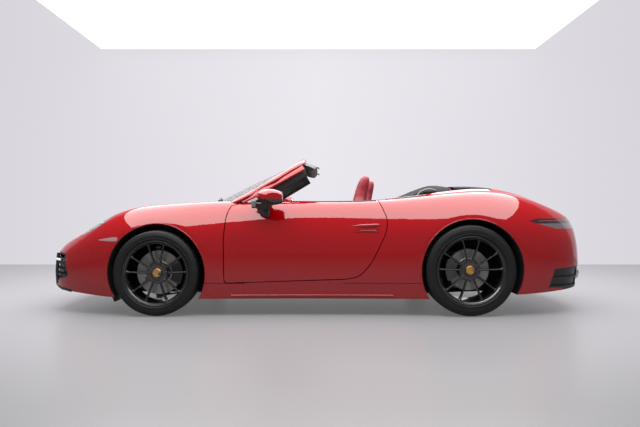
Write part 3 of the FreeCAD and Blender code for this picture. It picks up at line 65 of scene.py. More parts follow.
def newGroup(name, inputs):
    group = bpy.data.node_groups.new(name, "ShaderNodeTree")
    group.interface.new_socket("Vector", in_out="INPUT", socket_type="NodeSocketVector")
    for label, value in inputs.items():
        socket = group.interface.new_socket(label, in_out="INPUT", socket_type="NodeSocketFloat")
        socket.default_value = value
    for label in ("Height", "Mask"):
        group.interface.new_socket(label, in_out="OUTPUT", socket_type="NodeSocketFloat")
    return group, group.nodes.new("NodeGroupInput"), group.nodes.new("NodeGroupOutput")


def addNode(tree, kind, links=(), **values):
    node = tree.nodes.new(kind)
    for key, value in values.items():
        if key in node.inputs:
            node.inputs[key].default_value = value
        else:
            setattr(node, key, value)
    for socket, source in dict(links).items():
        tree.links.new(source, node.inputs[socket])
    return node


def mathNode(tree, operation, first, second=None):
    node = tree.nodes.new("ShaderNodeMath")
    node.operation = operation
    for k, value in enumerate((first, second)):
        if value is None:
            continue
        if isinstance(value, (int, float)):
            node.inputs[k].default_value = value
        else:
            tree.links.new(value, node.inputs[k])
    return node.outputs[0]


def noiseOf(tree, start, scale, **values):
    links = {"Vector": start.outputs["Vector"], "Scale": start.outputs[scale]}
    return addNode(tree, "ShaderNodeTexNoise", links, **values).outputs["Fac"]


def axleDistance(tree, place, centre):  # from an axle that lies along Y
    flat = addNode(tree, "ShaderNodeVectorMath", {"Vector": place}, operation="MULTIPLY")
    flat.inputs[1].default_value = (1, 0, 1)
    away = addNode(tree, "ShaderNodeVectorMath", {"Vector": flat.outputs["Vector"]}, operation="DISTANCE")
    away.inputs[1].default_value = centre
    return away.outputs["Value"]


def closeGroup(tree, end, height, mask=None):
    tree.links.new(height, end.inputs["Height"])
    if mask:
        tree.links.new(mask, end.inputs["Mask"])
    return tree


def buildSprayedSkin():  # faint waviness of lacquer, with soft cloudy variation
    tree, start, end = newGroup("sprayedSkin", {"Scale": 320, "Cloud": 3})
    return closeGroup(tree, end, noiseOf(tree, start, "Scale", Detail=2),
                      noiseOf(tree, start, "Cloud", Detail=3))


def buildPebbledHide():  # leather: rounded pebbles with painted shade in the creases, plus broad creasing
    tree, start, end = newGroup("pebbledHide", {"Scale": 420, "Cloud": 9})
    links = {"Vector": start.outputs["Vector"], "Scale": start.outputs["Scale"]}
    pebble = addNode(tree, "ShaderNodeTexVoronoi", links, feature="DISTANCE_TO_EDGE")
    crease = noiseOf(tree, start, "Cloud", Detail=6)
    rounded = mathNode(tree, "MINIMUM", mathNode(tree, "MULTIPLY", pebble.outputs["Distance"], 4.0), 1.0)
    pebbles, creases = mathNode(tree, "MULTIPLY", rounded, 0.6), mathNode(tree, "MULTIPLY", crease, 0.5)
    # the mask follows the height, so the colour is darker in its low points: painted shade in the creases
    return closeGroup(tree, end, mathNode(tree, "ADD", pebbles, creases),
                      mathNode(tree, "MULTIPLY", rounded, crease))


def buildCanvasWeave():  # two crossing sets of threads
    tree, start, end = newGroup("canvasWeave", {"Scale": 520, "Cloud": 6})
    parts = addNode(tree, "ShaderNodeSeparateXYZ", {"Vector": start.outputs["Vector"]})
    threads = []
    for axis in ("X", "Y"):
        turn = mathNode(tree, "MULTIPLY", parts.outputs[axis], start.outputs["Scale"])
        threads.append(mathNode(tree, "ABSOLUTE", mathNode(tree, "SINE", turn)))
    weave = mathNode(tree, "MAXIMUM", *threads)
    cloud = noiseOf(tree, start, "Cloud", Detail=5)
    # the mask is the weave's height times a cloud: painted shade between the threads, plus random tone
    return closeGroup(tree, end, weave, mathNode(tree, "MULTIPLY", weave, cloud))


def buildMouldedGrain():  # fine grain of moulded plastic or rubber
    tree, start, end = newGroup("mouldedGrain", {"Scale": 700, "Cloud": 7})
    grain = noiseOf(tree, start, "Scale", Detail=3, Roughness=0.7)
    return closeGroup(tree, end, grain, noiseOf(tree, start, "Cloud", Detail=4))


def buildTurnedRings():  # concentric marks round an axle
    tree, start, end = newGroup("turnedRings", {"Scale": 1500, "Cloud": 30})
    reach = axleDistance(tree, start.outputs["Vector"], (0, 0, 0))
    rings = mathNode(tree, "SINE", mathNode(tree, "MULTIPLY", reach, start.outputs["Scale"]))
    noise = noiseOf(tree, start, "Cloud", Detail=4)
    return closeGroup(tree, end, mathNode(tree, "MULTIPLY", rings, noise), noise)


# Wheel arches: centre, radius of the edge and reach of the dark wheel house, and how their edge is rolled
arches = [{"centre": (1.2495, 0, 0.3353), "radius": 0.383, "house": 0.400},
          {"centre": (-1.2125, 0, 0.3573), "radius": 0.397, "house": 0.412}]
rollSpec = {"band": 0.050, "slope": 0.11}


def buildArchRoll():  # the edge of each wheel arch rolls inwards
    tree, start, end = newGroup("archRoll", {})
    drops = []
    for arch in arches:
        away = axleDistance(tree, start.outputs["Vector"], arch["centre"])
        left = mathNode(tree, "SUBTRACT", arch["radius"] + rollSpec["band"], away)
        share = mathNode(tree, "MAXIMUM", mathNode(tree, "DIVIDE", left, rollSpec["band"]), 0.0)
        drops.append(mathNode(tree, "MULTIPLY", share, share))
    depth = -rollSpec["band"] * rollSpec["slope"]
    return closeGroup(tree, end, mathNode(tree, "MULTIPLY", mathNode(tree, "ADD", *drops), depth))


patterns = {
    "archRoll": buildArchRoll(),
    "sprayed": buildSprayedSkin(),
    "hide": buildPebbledHide(),
    "canvas": buildCanvasWeave(),
    "moulded": buildMouldedGrain(),
    "turned": buildTurnedRings(),
}

# Finishes: base and second colour, roughness low and high, and the shared effect with its scale and depth
finishes = {
    "redLacquer": {"base": (0.30, 0.0003, 0.003), "second": (0.27, 0.0003, 0.0025), "rough": (0.012, 0.03),
                   "specular": 0.66, "pattern": "sprayed", "scale": 300, "depth": 0.00001, "rolled": True},
    "innerLacquer": {"base": (0.30, 0.002, 0.006), "second": (0.22, 0.002, 0.005), "rough": (0.35, 0.5),
                     "coat": 0.4, "coatRough": 0.15, "pattern": "sprayed", "scale": 220, "depth": 0.00006},
    "glossBlack": {"base": (0.006, 0.006, 0.007), "second": (0.010, 0.010, 0.011), "rough": (0.20, 0.30),
                   "coat": 1.0, "coatRough": 0.03, "pattern": "sprayed", "scale": 300, "depth": 0.00002},
    "blackPlastic": {"base": (0.012, 0.012, 0.013), "second": (0.022, 0.022, 0.024), "rough": (0.42, 0.6),
                     "pattern": "moulded", "scale": 900, "depth": 0.0001},
    "underbodyPlastic": {"base": (0.015, 0.015, 0.016), "second": (0.03, 0.029, 0.028), "rough": (0.6, 0.85),
                         "pattern": "moulded", "scale": 400, "depth": 0.0003},
    "dashSkin": {"base": (0.018, 0.017, 0.018), "second": (0.03, 0.028, 0.029), "rough": (0.45, 0.62),
                 "pattern": "hide", "scale": 600, "depth": 0.00015},
    "redHide": {"base": (0.215, 0.012, 0.020), "second": (0.28, 0.020, 0.030), "rough": (0.45, 0.62),
                "pattern": "hide", "scale": 420, "depth": 0.0002, "specular": 0.3},
    "blackHide": {"base": (0.015, 0.014, 0.014), "second": (0.03, 0.028, 0.028), "rough": (0.4, 0.55),
                  "pattern": "hide", "scale": 480, "depth": 0.00015},
    "topCanvas": {"base": (0.012, 0.012, 0.014), "second": (0.035, 0.034, 0.038), "rough": (0.75, 0.95),
                  "pattern": "canvas", "scale": 900, "depth": 0.0004, "specular": 0.1},
    "carpet": {"base": (0.012, 0.012, 0.013), "second": (0.03, 0.028, 0.028), "rough": (0.85, 1.0),
               "pattern": "moulded", "scale": 260, "depth": 0.0015, "sheen": 0.4},
    "tyreRubber": {"base": (0.006, 0.006, 0.006), "second": (0.011, 0.011, 0.011), "rough": (0.5, 0.7),
                   "specular": 0.25, "pattern": "moulded", "scale": 500, "depth": 0.0002},
    "softRubber": {"base": (0.012, 0.012, 0.012), "second": (0.02, 0.02, 0.02), "rough": (0.5, 0.7),
                   "pattern": "moulded", "scale": 600, "depth": 0.0001},
    "discIron": {"base": (0.24, 0.23, 0.22), "second": (0.36, 0.35, 0.33), "rough": (0.25, 0.42),
                 "metallic": 1.0, "pattern": "turned", "scale": 2600, "depth": 0.00006},
    "castAlloy": {"base": (0.10, 0.10, 0.105), "second": (0.17, 0.17, 0.175), "rough": (0.45, 0.65),
                  "metallic": 0.8, "pattern": "moulded", "scale": 300, "depth": 0.0003},
    "castIron": {"base": (0.16, 0.16, 0.165), "second": (0.24, 0.235, 0.23), "rough": (0.5, 0.7),
                 "metallic": 0.7, "pattern": "moulded", "scale": 220, "depth": 0.0005},
    "polishedSteel": {"base": (0.55, 0.55, 0.56), "second": (0.62, 0.62, 0.63), "rough": (0.12, 0.24),
                      "metallic": 1.0, "pattern": "turned", "scale": 1800, "depth": 0.00002},
    "satinSilver": {"base": (0.45, 0.45, 0.46), "second": (0.52, 0.52, 0.53), "rough": (0.3, 0.42),
                    "metallic": 0.9, "pattern": "moulded", "scale": 900, "depth": 0.00005},
    "goldCap": {"base": (0.62, 0.34, 0.10), "second": (0.68, 0.40, 0.14), "rough": (0.22, 0.34),
                "metallic": 0.85, "pattern": "turned", "scale": 900, "depth": 0.00005},
    "lampChrome": {"base": (0.72, 0.73, 0.75), "second": (0.8, 0.8, 0.82), "rough": (0.08, 0.16),
                   "metallic": 1.0, "pattern": "sprayed", "scale": 200, "depth": 0.00002},
    "lampInner": {"base": (0.10, 0.10, 0.105), "second": (0.16, 0.16, 0.165), "rough": (0.2, 0.3),
                  "metallic": 0.9, "pattern": "sprayed", "scale": 200, "depth": 0.00003},
    "greyTrim": {"base": (0.13, 0.13, 0.135), "second": (0.18, 0.18, 0.185), "rough": (0.4, 0.5),
                 "pattern": "moulded", "scale": 900, "depth": 0.00005},
    "beltWeb": {"base": (0.02, 0.02, 0.021), "second": (0.035, 0.034, 0.035), "rough": (0.6, 0.75),
                "pattern": "canvas", "scale": 1800, "depth": 0.0002},
    "markerLens": {"base": (0.26, 0.15, 0.15), "second": (0.32, 0.20, 0.20), "rough": (0.15, 0.22),
                   "coat": 1.0, "pattern": "sprayed", "scale": 300, "depth": 0.00005},
    "smokedLens": {"base": (0.085, 0.070, 0.076), "second": (0.115, 0.095, 0.10), "rough": (0.12, 0.2),
                   "coat": 1.0, "pattern": "sprayed", "scale": 300, "depth": 0.00003},
    "redLens": {"base": (0.30, 0.004, 0.006), "second": (0.38, 0.006, 0.01), "rough": (0.12, 0.2),
                "coat": 1.0, "pattern": "sprayed", "scale": 240, "depth": 0.00005},
    "screenGlass": {"base": (0.008, 0.009, 0.012), "second": (0.012, 0.013, 0.016), "rough": (0.06, 0.1),
                    "coat": 1.0, "pattern": "sprayed", "scale": 200, "depth": 0.00001},
    "mirrorSilver": {"base": (0.78, 0.79, 0.80), "second": (0.82, 0.83, 0.84), "rough": (0.02, 0.04),
                     "metallic": 1.0, "pattern": "sprayed", "scale": 100, "depth": 0.000005},
}


def newMaterial(name, values):
    material = bpy.data.materials.new(name)
    material.use_nodes = True
    shader = material.node_tree.nodes["Principled BSDF"]
    for label, value in values.items():
        shader.inputs[label].default_value = value
    return material, material.node_tree, shader


def mixColours(tree, factor, *tones):
    mix = addNode(tree, "ShaderNodeMix", {"Factor": factor}, data_type="RGBA")
    for socket, tone in zip([s for s in mix.inputs if s.type == "RGBA"], tones):
        socket.default_value = (*tone, 1)
    return [s for s in mix.outputs if s.type == "RGBA"][0]


def objectPlace(tree):
    return addNode(tree, "ShaderNodeTexCoord").outputs["Object"]


def partOf(tree, place, axis):
    return addNode(tree, "ShaderNodeSeparateXYZ", {"Vector": place}).outputs[axis]


def makeFinish(name, spec):
    material, tree, shader = newMaterial(name, {
        "Metallic": spec.get("metallic", 0.0), "Coat Weight": spec.get("coat", 0.0),
        "Coat Roughness": spec.get("coatRough", 0.05), "Specular IOR Level": spec.get("specular", 0.5),
        "Sheen Weight": spec.get("sheen", 0.0)})
    place = objectPlace(tree)
    centred = addNode(tree, "ShaderNodeMapping", {"Vector": place}, Location=spec.get("shift", (0, 0, 0)))
    effect = addNode(tree, "ShaderNodeGroup", {"Vector": centred.outputs["Vector"]},
                     node_tree=patterns[spec["pattern"]], Scale=spec["scale"])
    colour = mixColours(tree, effect.outputs["Mask"], spec["base"], spec["second"])
    tree.links.new(colour, shader.inputs["Base Color"])
    rough = addNode(tree, "ShaderNodeMapRange", {"Value": effect.outputs["Mask"]})
    rough.inputs["To Min"].default_value, rough.inputs["To Max"].default_value = spec["rough"]
    tree.links.new(rough.outputs["Result"], shader.inputs["Roughness"])
    bump = addNode(tree, "ShaderNodeBump", {"Height": effect.outputs["Height"]}, Strength=1.0,
                   Distance=spec["depth"])
    if spec.get("rolled"):
        roll = addNode(tree, "ShaderNodeGroup", {"Vector": place}, node_tree=patterns["archRoll"])
        links = {"Height": roll.outputs["Height"], "Normal": bump.outputs["Normal"]}
        bump = addNode(tree, "ShaderNodeBump", links, Distance=1.0)
    tree.links.new(bump.outputs["Normal"], shader.inputs["Normal"])
    return material


def archZone(tree, place):  # wheel houses and underside
    houses = [mathNode(tree, "LESS_THAN", axleDistance(tree, place, arch["centre"]),
                       arch["house"]) for arch in arches]
    under = mathNode(tree, "LESS_THAN", partOf(tree, place, "Z"), 0.20)
    return mathNode(tree, "MAXIMUM", mathNode(tree, "MAXIMUM", *houses), under)


def mirrorZone(tree, place):  # lower half and foot of the door mirrors
    foot = mathNode(tree, "LESS_THAN", mathNode(tree, "ABSOLUTE", partOf(tree, place, "Y")), 0.822)
    return mathNode(tree, "MAXIMUM", foot, mathNode(tree, "LESS_THAN", partOf(tree, place, "Z"), 0.9118))


def lampZone(tree, place):  # dark upper slot of the tail lamp
    return mathNode(tree, "GREATER_THAN", partOf(tree, place, "Z"), 0.722)


def makeZoned(name, spec, zone, zoneColour, zoneRough, zoneCoat):
    material = makeFinish(name, spec)
    tree = material.node_tree
    shader = tree.nodes["Principled BSDF"]
    mask = zone(tree, objectPlace(tree))
    for socketName, kind, value in (("Base Color", "RGBA", (*zoneColour, 1)),
                                    ("Roughness", "VALUE", zoneRough), ("Coat Weight", "VALUE", zoneCoat),
                                    ("Metallic", "VALUE", 0.0)):
        socket = shader.inputs[socketName]
        mix = addNode(tree, "ShaderNodeMix", data_type="RGBA" if kind == "RGBA" else "FLOAT")
        first, second = [s for s in mix.inputs if s.type == kind and s.name in ("A", "B")]
        if socket.is_linked:
            tree.links.new(socket.links[0].from_socket, first)
        else:
            first.default_value = socket.default_value
        second.default_value = value
        tree.links.new(mask, mix.inputs["Factor"])
        tree.links.new([s for s in mix.outputs if s.type == kind][0], socket)
    return material


def makeGlass(name, tint, alpha):
    return newMaterial(name, {"Base Color": (*tint, 1), "Roughness": 0.0, "Transmission Weight": 1.0,
                              "IOR": 1.08, "Coat Weight": 1.0, "Coat Roughness": 0.01, "Alpha": alpha})[0]


def makeLight(name, colour, strength):
    spec = {"base": colour, "second": colour, "rough": (0.2, 0.3), "coat": 1.0, "pattern": "sprayed",
            "scale": 200, "depth": 0.00002}
    material = makeFinish(name, spec)
    shader = material.node_tree.nodes["Principled BSDF"]
    shader.inputs["Emission Color"].default_value = (*colour, 1)
    shader.inputs["Emission Strength"].default_value = strength
    return material


materials = {name: makeFinish(name, spec) for name, spec in finishes.items()}
# name, finish outside the zone, zone, and the zone's colour, roughness and coat
for name, finish, *zone in (("bodyInside", "innerLacquer", archZone, (0.006, 0.006, 0.006), 0.8, 0.0),
                            ("mirrorShell", "redLacquer", mirrorZone, (0.008, 0.008, 0.009), 0.75, 0.0),
                            ("tailLamp", "smokedLens", lampZone, (0.012, 0.004, 0.005), 0.12, 1.0)):
    materials[name] = makeZoned(name, finishes[finish], *zone)
materials["clearGlass"] = makeGlass("clearGlass", (0.90, 0.97, 0.95), 0.85)
materials["lampGlass"] = makeGlass("lampGlass", (0.97, 0.98, 1.0), 0.35)
materials["whiteLight"] = makeLight("whiteLight", (0.85, 0.88, 0.95), 0.35)
print("materials made:", len(materials))

# Finish of each record slot
slotFinish = {
    "underbody": "underbodyPlastic", "body_inner": "bodyInside", "body_paint": "redLacquer",
    "black_trim": "blackPlastic", "lamp_glass": "lampGlass", "tail_lens": "tailLamp",
    "tailpipe": "polishedSteel", "top_fabric": "topCanvas", "clear_glass": "clearGlass", "dash": "dashSkin",
    "red_leather": "redHide", "engine": "castIron", "suspension": "castAlloy", "door_lining": "redHide",
    "wheel_leather": "blackHide", "tyre": "tyreRubber", "rim": "glossBlack", "disc": "discIron",
}


def paintNode(nodeName, finishName):
    nodes[nodeName].data.materials.clear()
    nodes[nodeName].data.materials.append(materials[finishName])


for entry in frame["record"]["subparts"]:
    paintNode(entry["node"], slotFinish[entry["material_slot"]])


# Making pieces

def mergeForm(bm):
    bmesh.ops.remove_doubles(bm, verts=bm.verts, dist=1e-6)
    bmesh.ops.recalc_face_normals(bm, faces=bm.faces)


def linkPiece(bm, name):
    mesh = bpy.data.meshes.new(name)
    bm.to_mesh(mesh)
    bm.free()
    piece = bpy.data.objects.new(name, mesh)
    scene.collection.objects.link(piece)
    return piece


def keepPiece(bm, name, finish, body, autoSmooth=35):
    mergeForm(bm)
    piece = linkPiece(bm, name)
    piece.data.materials.append(materials[finish])
    piece.data.shade_smooth()
    piece.data.set_sharp_from_angle(angle=math.radians(autoSmooth))
    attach(piece, body)
    return piece


def closedLine(bm, points):
    verts = [bm.verts.new(p) for p in points]
    return verts + [bm.edges.new(pair) for pair in zip(verts, verts[1:] + verts[:1])]


def spinLine(bm, geometry, centre, steps):
    bmesh.ops.spin(bm, geom=geometry, cent=centre, axis=(0, 1, 0), angle=math.tau, steps=steps,
                   use_merge=True)


def bevelEdges(bm, edges, width, segments=2):
    bmesh.ops.bevel(bm, geom=list(edges), offset=width, offset_type="OFFSET", segments=segments, profile=0.5,
                    affect="EDGES", clamp_overlap=True, material=-1)


def moveVerts(verts, offset):
    for vert in verts:
        vert.co += Vector(offset)


# Wheels

wheels = {
    "front_left": {"centre": (1.2495, 0.7945, 0.3353), "side": 1, "radius": 0.3353, "rim": 0.255,
                   "width": 0.235, "hubFace": 0.035, "disc": 0.175, "discMiddle": -0.020},
    "rear_left": {"centre": (-1.2005, 0.7785, 0.3573), "side": 1, "radius": 0.3573, "rim": 0.268,
                  "width": 0.285, "hubFace": 0.060, "disc": 0.165, "discMiddle": 0.005},
}
for corner, wheel in list(wheels.items()):
    x, y, z = wheel["centre"]
    wheels[corner.replace("left", "right")] = {**wheel, "centre": (x, -y, z), "side": -1}

treadSpec = {"steps": 240, "blockSteps": 4, "grooves": (-0.56, -0.19, 0.19, 0.56), "grooveDeep": 0.0065,
             "grooveHalf": 0.0050, "blockDeep": 0.0045}
spokeSpec = {"pairs": 5, "pairHalf": 15.5, "start": 54.0, "rootHalf": 0.0105, "tipHalf": 0.0070,
             "bevel": 0.0012}
boltSpec = {"count": 5, "circle": 0.065, "head": (0.0098, 0.0092, 0.016), "collar": (0.0118, 0.0118, 0.006)}


def makeTyre(corner, wheel):
    bm = bmesh.new()
    radius, half = wheel["radius"], wheel["width"] / 2
    bead, flange = wheel["rim"] - 0.012, wheel["rim"] + 0.001
    wallTall = radius - flange
    crown = []
    grooves = [half * share for share in treadSpec["grooves"]]
    flatHalf = half - 0.030

    def treadRadius(y):
        return radius - 0.0012 - 0.006 * (abs(y) / half) ** 3

    for middle in grooves:
        for offset, deep in ((-1, 0), (-0.55, 1), (0.55, 1), (1, 0)):
            y = middle + offset * treadSpec["grooveHalf"]
            crown.append((treadRadius(y) - deep * treadSpec["grooveDeep"], y))
    shoulder = [(radius - 0.0035, flatHalf), (radius - 0.0075, half - 0.019),
                (radius - 0.014, half - 0.0105)]
    wall = [(radius - 0.020, half - 0.0075), (radius - 0.0215, half - 0.0085),
            (radius - wallTall * 0.45, half - 0.0005), (radius - wallTall * 0.52, half),
            (flange + 0.018, half - 0.003), (flange + 0.016, half - 0.0005), (flange + 0.010, half - 0.001),
            (flange + 0.006, half - 0.006), (flange, half - 0.013), (bead, half - 0.020)]
    outer = shoulder + wall
    profile = [(r, -y) for r, y in reversed(outer)] + crown + outer
    x, y0, z = wheel["centre"]
    points = [(x + r, y0 + y, z) for r, y in profile]
    spinLine(bm, closedLine(bm, points), wheel["centre"], treadSpec["steps"])
    mergeForm(bm)
    centre = Vector(wheel["centre"])
    blocks = []
    for face in bm.faces:
        spot = face.calc_center_median() - centre
        reach = math.hypot(spot.x, spot.z)
        turn = math.atan2(spot.z, spot.x) / math.tau
        step = int(round(turn * treadSpec["steps"] - 0.5)) % treadSpec["steps"]
        onRib = reach > radius - 0.0095 and abs(spot.y) > half * 0.56 + treadSpec["grooveHalf"]
        onMiddle = reach > treadRadius(spot.y) - 0.001 and half * 0.24 < abs(spot.y) < half * 0.52
        if onRib and step % treadSpec["blockSteps"] == (0 if spot.y > 0 else 2):
            blocks.append(face)
        elif onMiddle and step % (2 * treadSpec["blockSteps"]) == (1 if spot.y > 0 else 5):
            blocks.append(face)
    sunk = bmesh.ops.extrude_face_region(bm, geom=blocks)
    bmesh.ops.delete(bm, geom=blocks, context="FACES_KEEP_BOUNDARY")
    for vert in [g for g in sunk["geom"] if isinstance(g, bmesh.types.BMVert)]:
        flat = Vector((vert.co.x - centre.x, 0, vert.co.z - centre.z))
        vert.co -= flat.normalized() * treadSpec["blockDeep"]
    tyre = keepPiece(bm, "treadedTyre_" + corner, "tyreRubber", "wheel_" + corner, autoSmooth=30)
    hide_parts("tyre_" + corner)


def rimSizes(wheel):  # half width, tyre seat's radius, hub face and spoke face
    half = wheel["width"] / 2 - 0.008
    return half, wheel["rim"] - 0.0133, wheel["hubFace"], half - 0.014


def spokeBar(bm, wheel, angle):
    seat, hub, face = rimSizes(wheel)[1:]
    rootHalf, tipHalf = spokeSpec["rootHalf"], spokeSpec["tipHalf"]
    stations = [(0.052, face - 0.034, hub + 0.006, rootHalf),
                (0.085, face - 0.026, hub + 0.012, rootHalf * 0.82),
                (0.60 * seat, face - 0.012, face - 0.046, tipHalf * 0.95),
                (0.86 * seat, face - 0.005, face - 0.040, tipHalf),
                (seat - 0.0085, face - 0.006, face - 0.046, tipHalf * 1.7)]
    rings = []
    for reach, high, low, wide in stations:
        section = ((low, -wide), (high - 0.006, -wide), (high, -wide * 0.45), (high, wide * 0.45),
                   (high - 0.006, wide), (low, wide))
        rings.append([bm.verts.new((reach, y, z)) for y, z in section])
    for first, second in zip(rings, rings[1:]):
        for k in range(6):
            bm.faces.new((first[k], first[(k + 1) % 6], second[(k + 1) % 6], second[k]))
    bm.faces.new(rings[0])
    bm.faces.new(list(reversed(rings[-1])))
    verts = [v for ring in rings for v in ring]
    bmesh.ops.transform(bm, matrix=Matrix.Rotation(math.radians(angle), 4, "Y"), verts=verts)


def turnedPart(bm, profile, steps=96):
    before = set(bm.verts)
    spinLine(bm, closedLine(bm, [(r, y, 0) for r, y in profile]), (0, 0, 0), steps)
    return [v for v in bm.verts if v not in before]


def seatOnHub(bm, wheel):
    if wheel["side"] < 0:
        bmesh.ops.scale(bm, vec=(1, -1, 1), verts=bm.verts)
    bmesh.ops.translate(bm, vec=wheel["centre"], verts=bm.verts)


def makeRim(corner, wheel):
    half, seat, hub, face = rimSizes(wheel)
    radius = wheel["rim"]
    bm = bmesh.new()
    turnedPart(bm, [(seat, -half + 0.014), (seat - 0.002, 0), (seat, half - 0.014),
                    (radius - 0.0016, half - 0.0065), (radius, half - 0.004), (radius, half - 0.0012),
                    (radius - 0.0012, half), (radius - 0.009, half), (radius - 0.0105, half - 0.003),
                    (seat - 0.006, half - 0.012), (seat - 0.008, half - 0.022),
                    (seat - 0.0135, half - 0.030), (seat - 0.014, half - 0.060),
                    (seat - 0.014, -half + 0.030), (seat - 0.008, -half), (radius, -half),
                    (radius, -half + 0.0065)], 120)
    turnedPart(bm, [(0.034, hub), (0.082, hub), (0.084, hub + 0.003), (0.082, hub + 0.026),
                    (0.070, face - 0.035), (0.060, face - 0.031), (0.046, face - 0.034),
                    (0.040, face - 0.036), (0.034, face - 0.040)], 60)
    for pair in range(spokeSpec["pairs"]):
        for side in (-1, 1):
            turn = 360 / spokeSpec["pairs"] * pair + side * spokeSpec["pairHalf"]
            spokeBar(bm, wheel, turn + spokeSpec["start"])
    seatOnHub(bm, wheel)
    rim = keepPiece(bm, "spokedRim_" + corner, "glossBlack", "wheel_" + corner, autoSmooth=32)
    bevel = rim.modifiers.new("softEdges", "BEVEL")
    bevel.width = spokeSpec["bevel"]
    bevel.segments = 2
    bevel.limit_method = "ANGLE"
    bevel.angle_limit = math.radians(38)
    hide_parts("rim_" + corner)
    makeHubDress(corner, wheel, face)


def coneOn(bm, low, high, depth, segments):
    cone = bmesh.ops.create_cone(bm, cap_ends=True, segments=segments, radius1=low, radius2=high,
                                 depth=depth)
    return cone["verts"]


def makeHubDress(corner, wheel, face):
    bm = bmesh.new()
    turnedPart(bm, [(0, face - 0.052), (0.0335, face - 0.052), (0.0335, face - 0.033),
                    (0.031, face - 0.0305), (0.026, face - 0.0298), (0.012, face - 0.0285),
                    (0, face - 0.0282)], 48)
    seatOnHub(bm, wheel)
    keepPiece(bm, "hubCap_" + corner, "goldCap", "wheel_" + corner, autoSmooth=30)
    bm = bmesh.new()
    for k in range(boltSpec["count"]):
        head = coneOn(bm, *boltSpec["head"], 6)
        bevelEdges(bm, {e for v in head for e in v.link_edges}, 0.0012)
        moveVerts(coneOn(bm, *boltSpec["collar"], 32), (0, 0, -0.007))
        fresh = [v for v in bm.verts if not v.tag]
        bmesh.ops.rotate(bm, matrix=Matrix.Rotation(-math.pi / 2, 3, "X"), verts=fresh)
        angle = math.tau * k / boltSpec["count"] + math.radians(spokeSpec["start"])
        out = boltSpec["circle"]
        moveVerts(fresh, (out * math.cos(angle), face - 0.040, -out * math.sin(angle)))
        for vert in fresh:
            vert.tag = True
    seatOnHub(bm, wheel)
    keepPiece(bm, "wheelBolts_" + corner, "blackPlastic", "wheel_" + corner, autoSmooth=30)
    bm = bmesh.new()
    stem = turnedPart(bm, [(0, 0), (0.0045, 0), (0.0042, 0.018), (0.0052, 0.019), (0.0052, 0.030),
                           (0, 0.031)], 20)
    out, turn = wheel["rim"] - 0.028, math.radians(18)
    moveVerts(stem, (out * math.cos(turn), face - 0.030, -out * math.sin(turn)))
    seatOnHub(bm, wheel)
    keepPiece(bm, "valveStem_" + corner, "blackPlastic", "wheel_" + corner)


# The face of the disc is cut into steps and bands, and every eighth step of some bands is a hole
discSpec = {"steps": 208, "bands": 12, "inner": 0.099, "holeEvery": 8, "holeSteps": {2: 0, 4: 2, 6: 4, 8: 6},
            "holeDeep": 0.006, "half": 0.016}


def makeDisc(corner, wheel):
    radius, middle, hub = wheel["disc"], wheel["discMiddle"], wheel["hubFace"]
    high, low, edge = middle + discSpec["half"], middle - discSpec["half"], radius - 0.006
    bm = bmesh.new()
    turnedPart(bm, [(0.094, high), (0.098, high - 0.0005), (radius - 0.002, high), (radius, high - 0.002),
                    (radius, middle + 0.005), (edge, middle + 0.004), (edge, middle - 0.004),
                    (radius, middle - 0.005), (radius, low + 0.002), (radius - 0.002, low), (0.092, low),
                    (0.092, low - 0.004), (0.0303, low - 0.004), (0.0303, hub - 0.0003),
                    (0.084, hub - 0.0003), (0.086, hub - 0.003), (0.088, high + 0.004)], discSpec["steps"])
    mergeForm(bm)

    def reachOf(face):
        spot = face.calc_center_median()
        return math.hypot(spot.x, spot.z)

    ring = [f for f in bm.faces if f.normal.y > 0.9 and discSpec["inner"] < reachOf(f) < radius - 0.003]
    spokes = {e for f in ring for e in f.edges if (e.verts[0].co.xz - e.verts[1].co.xz).length > 0.02}
    bmesh.ops.subdivide_edges(bm, edges=list(spokes), cuts=discSpec["bands"] - 1, use_grid_fill=True)
    holes = []
    for face in bm.faces:
        spot, reach = face.calc_center_median(), reachOf(face)
        if face.normal.y < 0.9 or not 0.1 < reach < radius - 0.003 or abs(spot.y - high) > 0.001:
            continue
        band = int((reach - discSpec["inner"]) / (radius - 0.100) * discSpec["bands"])
        step = int(math.atan2(spot.z, spot.x) / math.tau * discSpec["steps"]) % discSpec["holeEvery"]
        if step == discSpec["holeSteps"].get(band):
            holes.append(face)
    bmesh.ops.inset_individual(bm, faces=holes, thickness=0.0006)
    sunk = bmesh.ops.extrude_discrete_faces(bm, faces=holes)
    for face in sunk["faces"]:
        moveVerts(face.verts, (0, -discSpec["holeDeep"], 0))
    seatOnHub(bm, wheel)
    disc = keepPiece(bm, "drilledDisc_" + corner, "discIron_" + corner, "wheel_" + corner,
                     autoSmooth=25)
    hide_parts("brake_disc_" + corner)


for corner, wheel in wheels.items():
    shift = tuple(-c for c in wheel["centre"])
    materials["discIron_" + corner] = makeFinish("discIron_" + corner,
                                                 {**finishes["discIron"], "shift": shift})
    makeTyre(corner, wheel)
    makeRim(corner, wheel)
    makeDisc(corner, wheel)
for side in ("left", "right"):
    paintNode("knuckle_" + side, "blackPlastic")
    paintNode("mirror_" + side, "mirrorShell")
print("wheels made")

# Reading places off the CAD surfaces, and sweeping sections along lines

def surfaceOf(*nodeNames):
    bm = bmesh.new()
    for nodeName in nodeNames:
        bm.from_mesh(nodes[nodeName].data)
    tree = BVHTree.FromBMesh(bm)
    bm.free()
    return tree


def castOn(tree, start, direction):
    return tree.ray_cast(Vector(start), Vector(direction).normalized())[0]


def curvePath(points, steps=6):
    points = [Vector(p) for p in points]
    path = []
    for k in range(len(points) - 1):
        before, after = points[max(k - 1, 0)], points[min(k + 2, len(points) - 1)]
        first, second = points[k], points[k + 1]
        for step in range(steps):
            t = step / steps
            tangentA, tangentB = (second - before) / 2, (after - first) / 2
            path.append(first * (2 * t ** 3 - 3 * t ** 2 + 1) + tangentA * (t ** 3 - 2 * t ** 2 + t)
                        + second * (3 * t ** 2 - 2 * t ** 3) + tangentB * (t ** 3 - t ** 2))
    return path + [points[-1]]


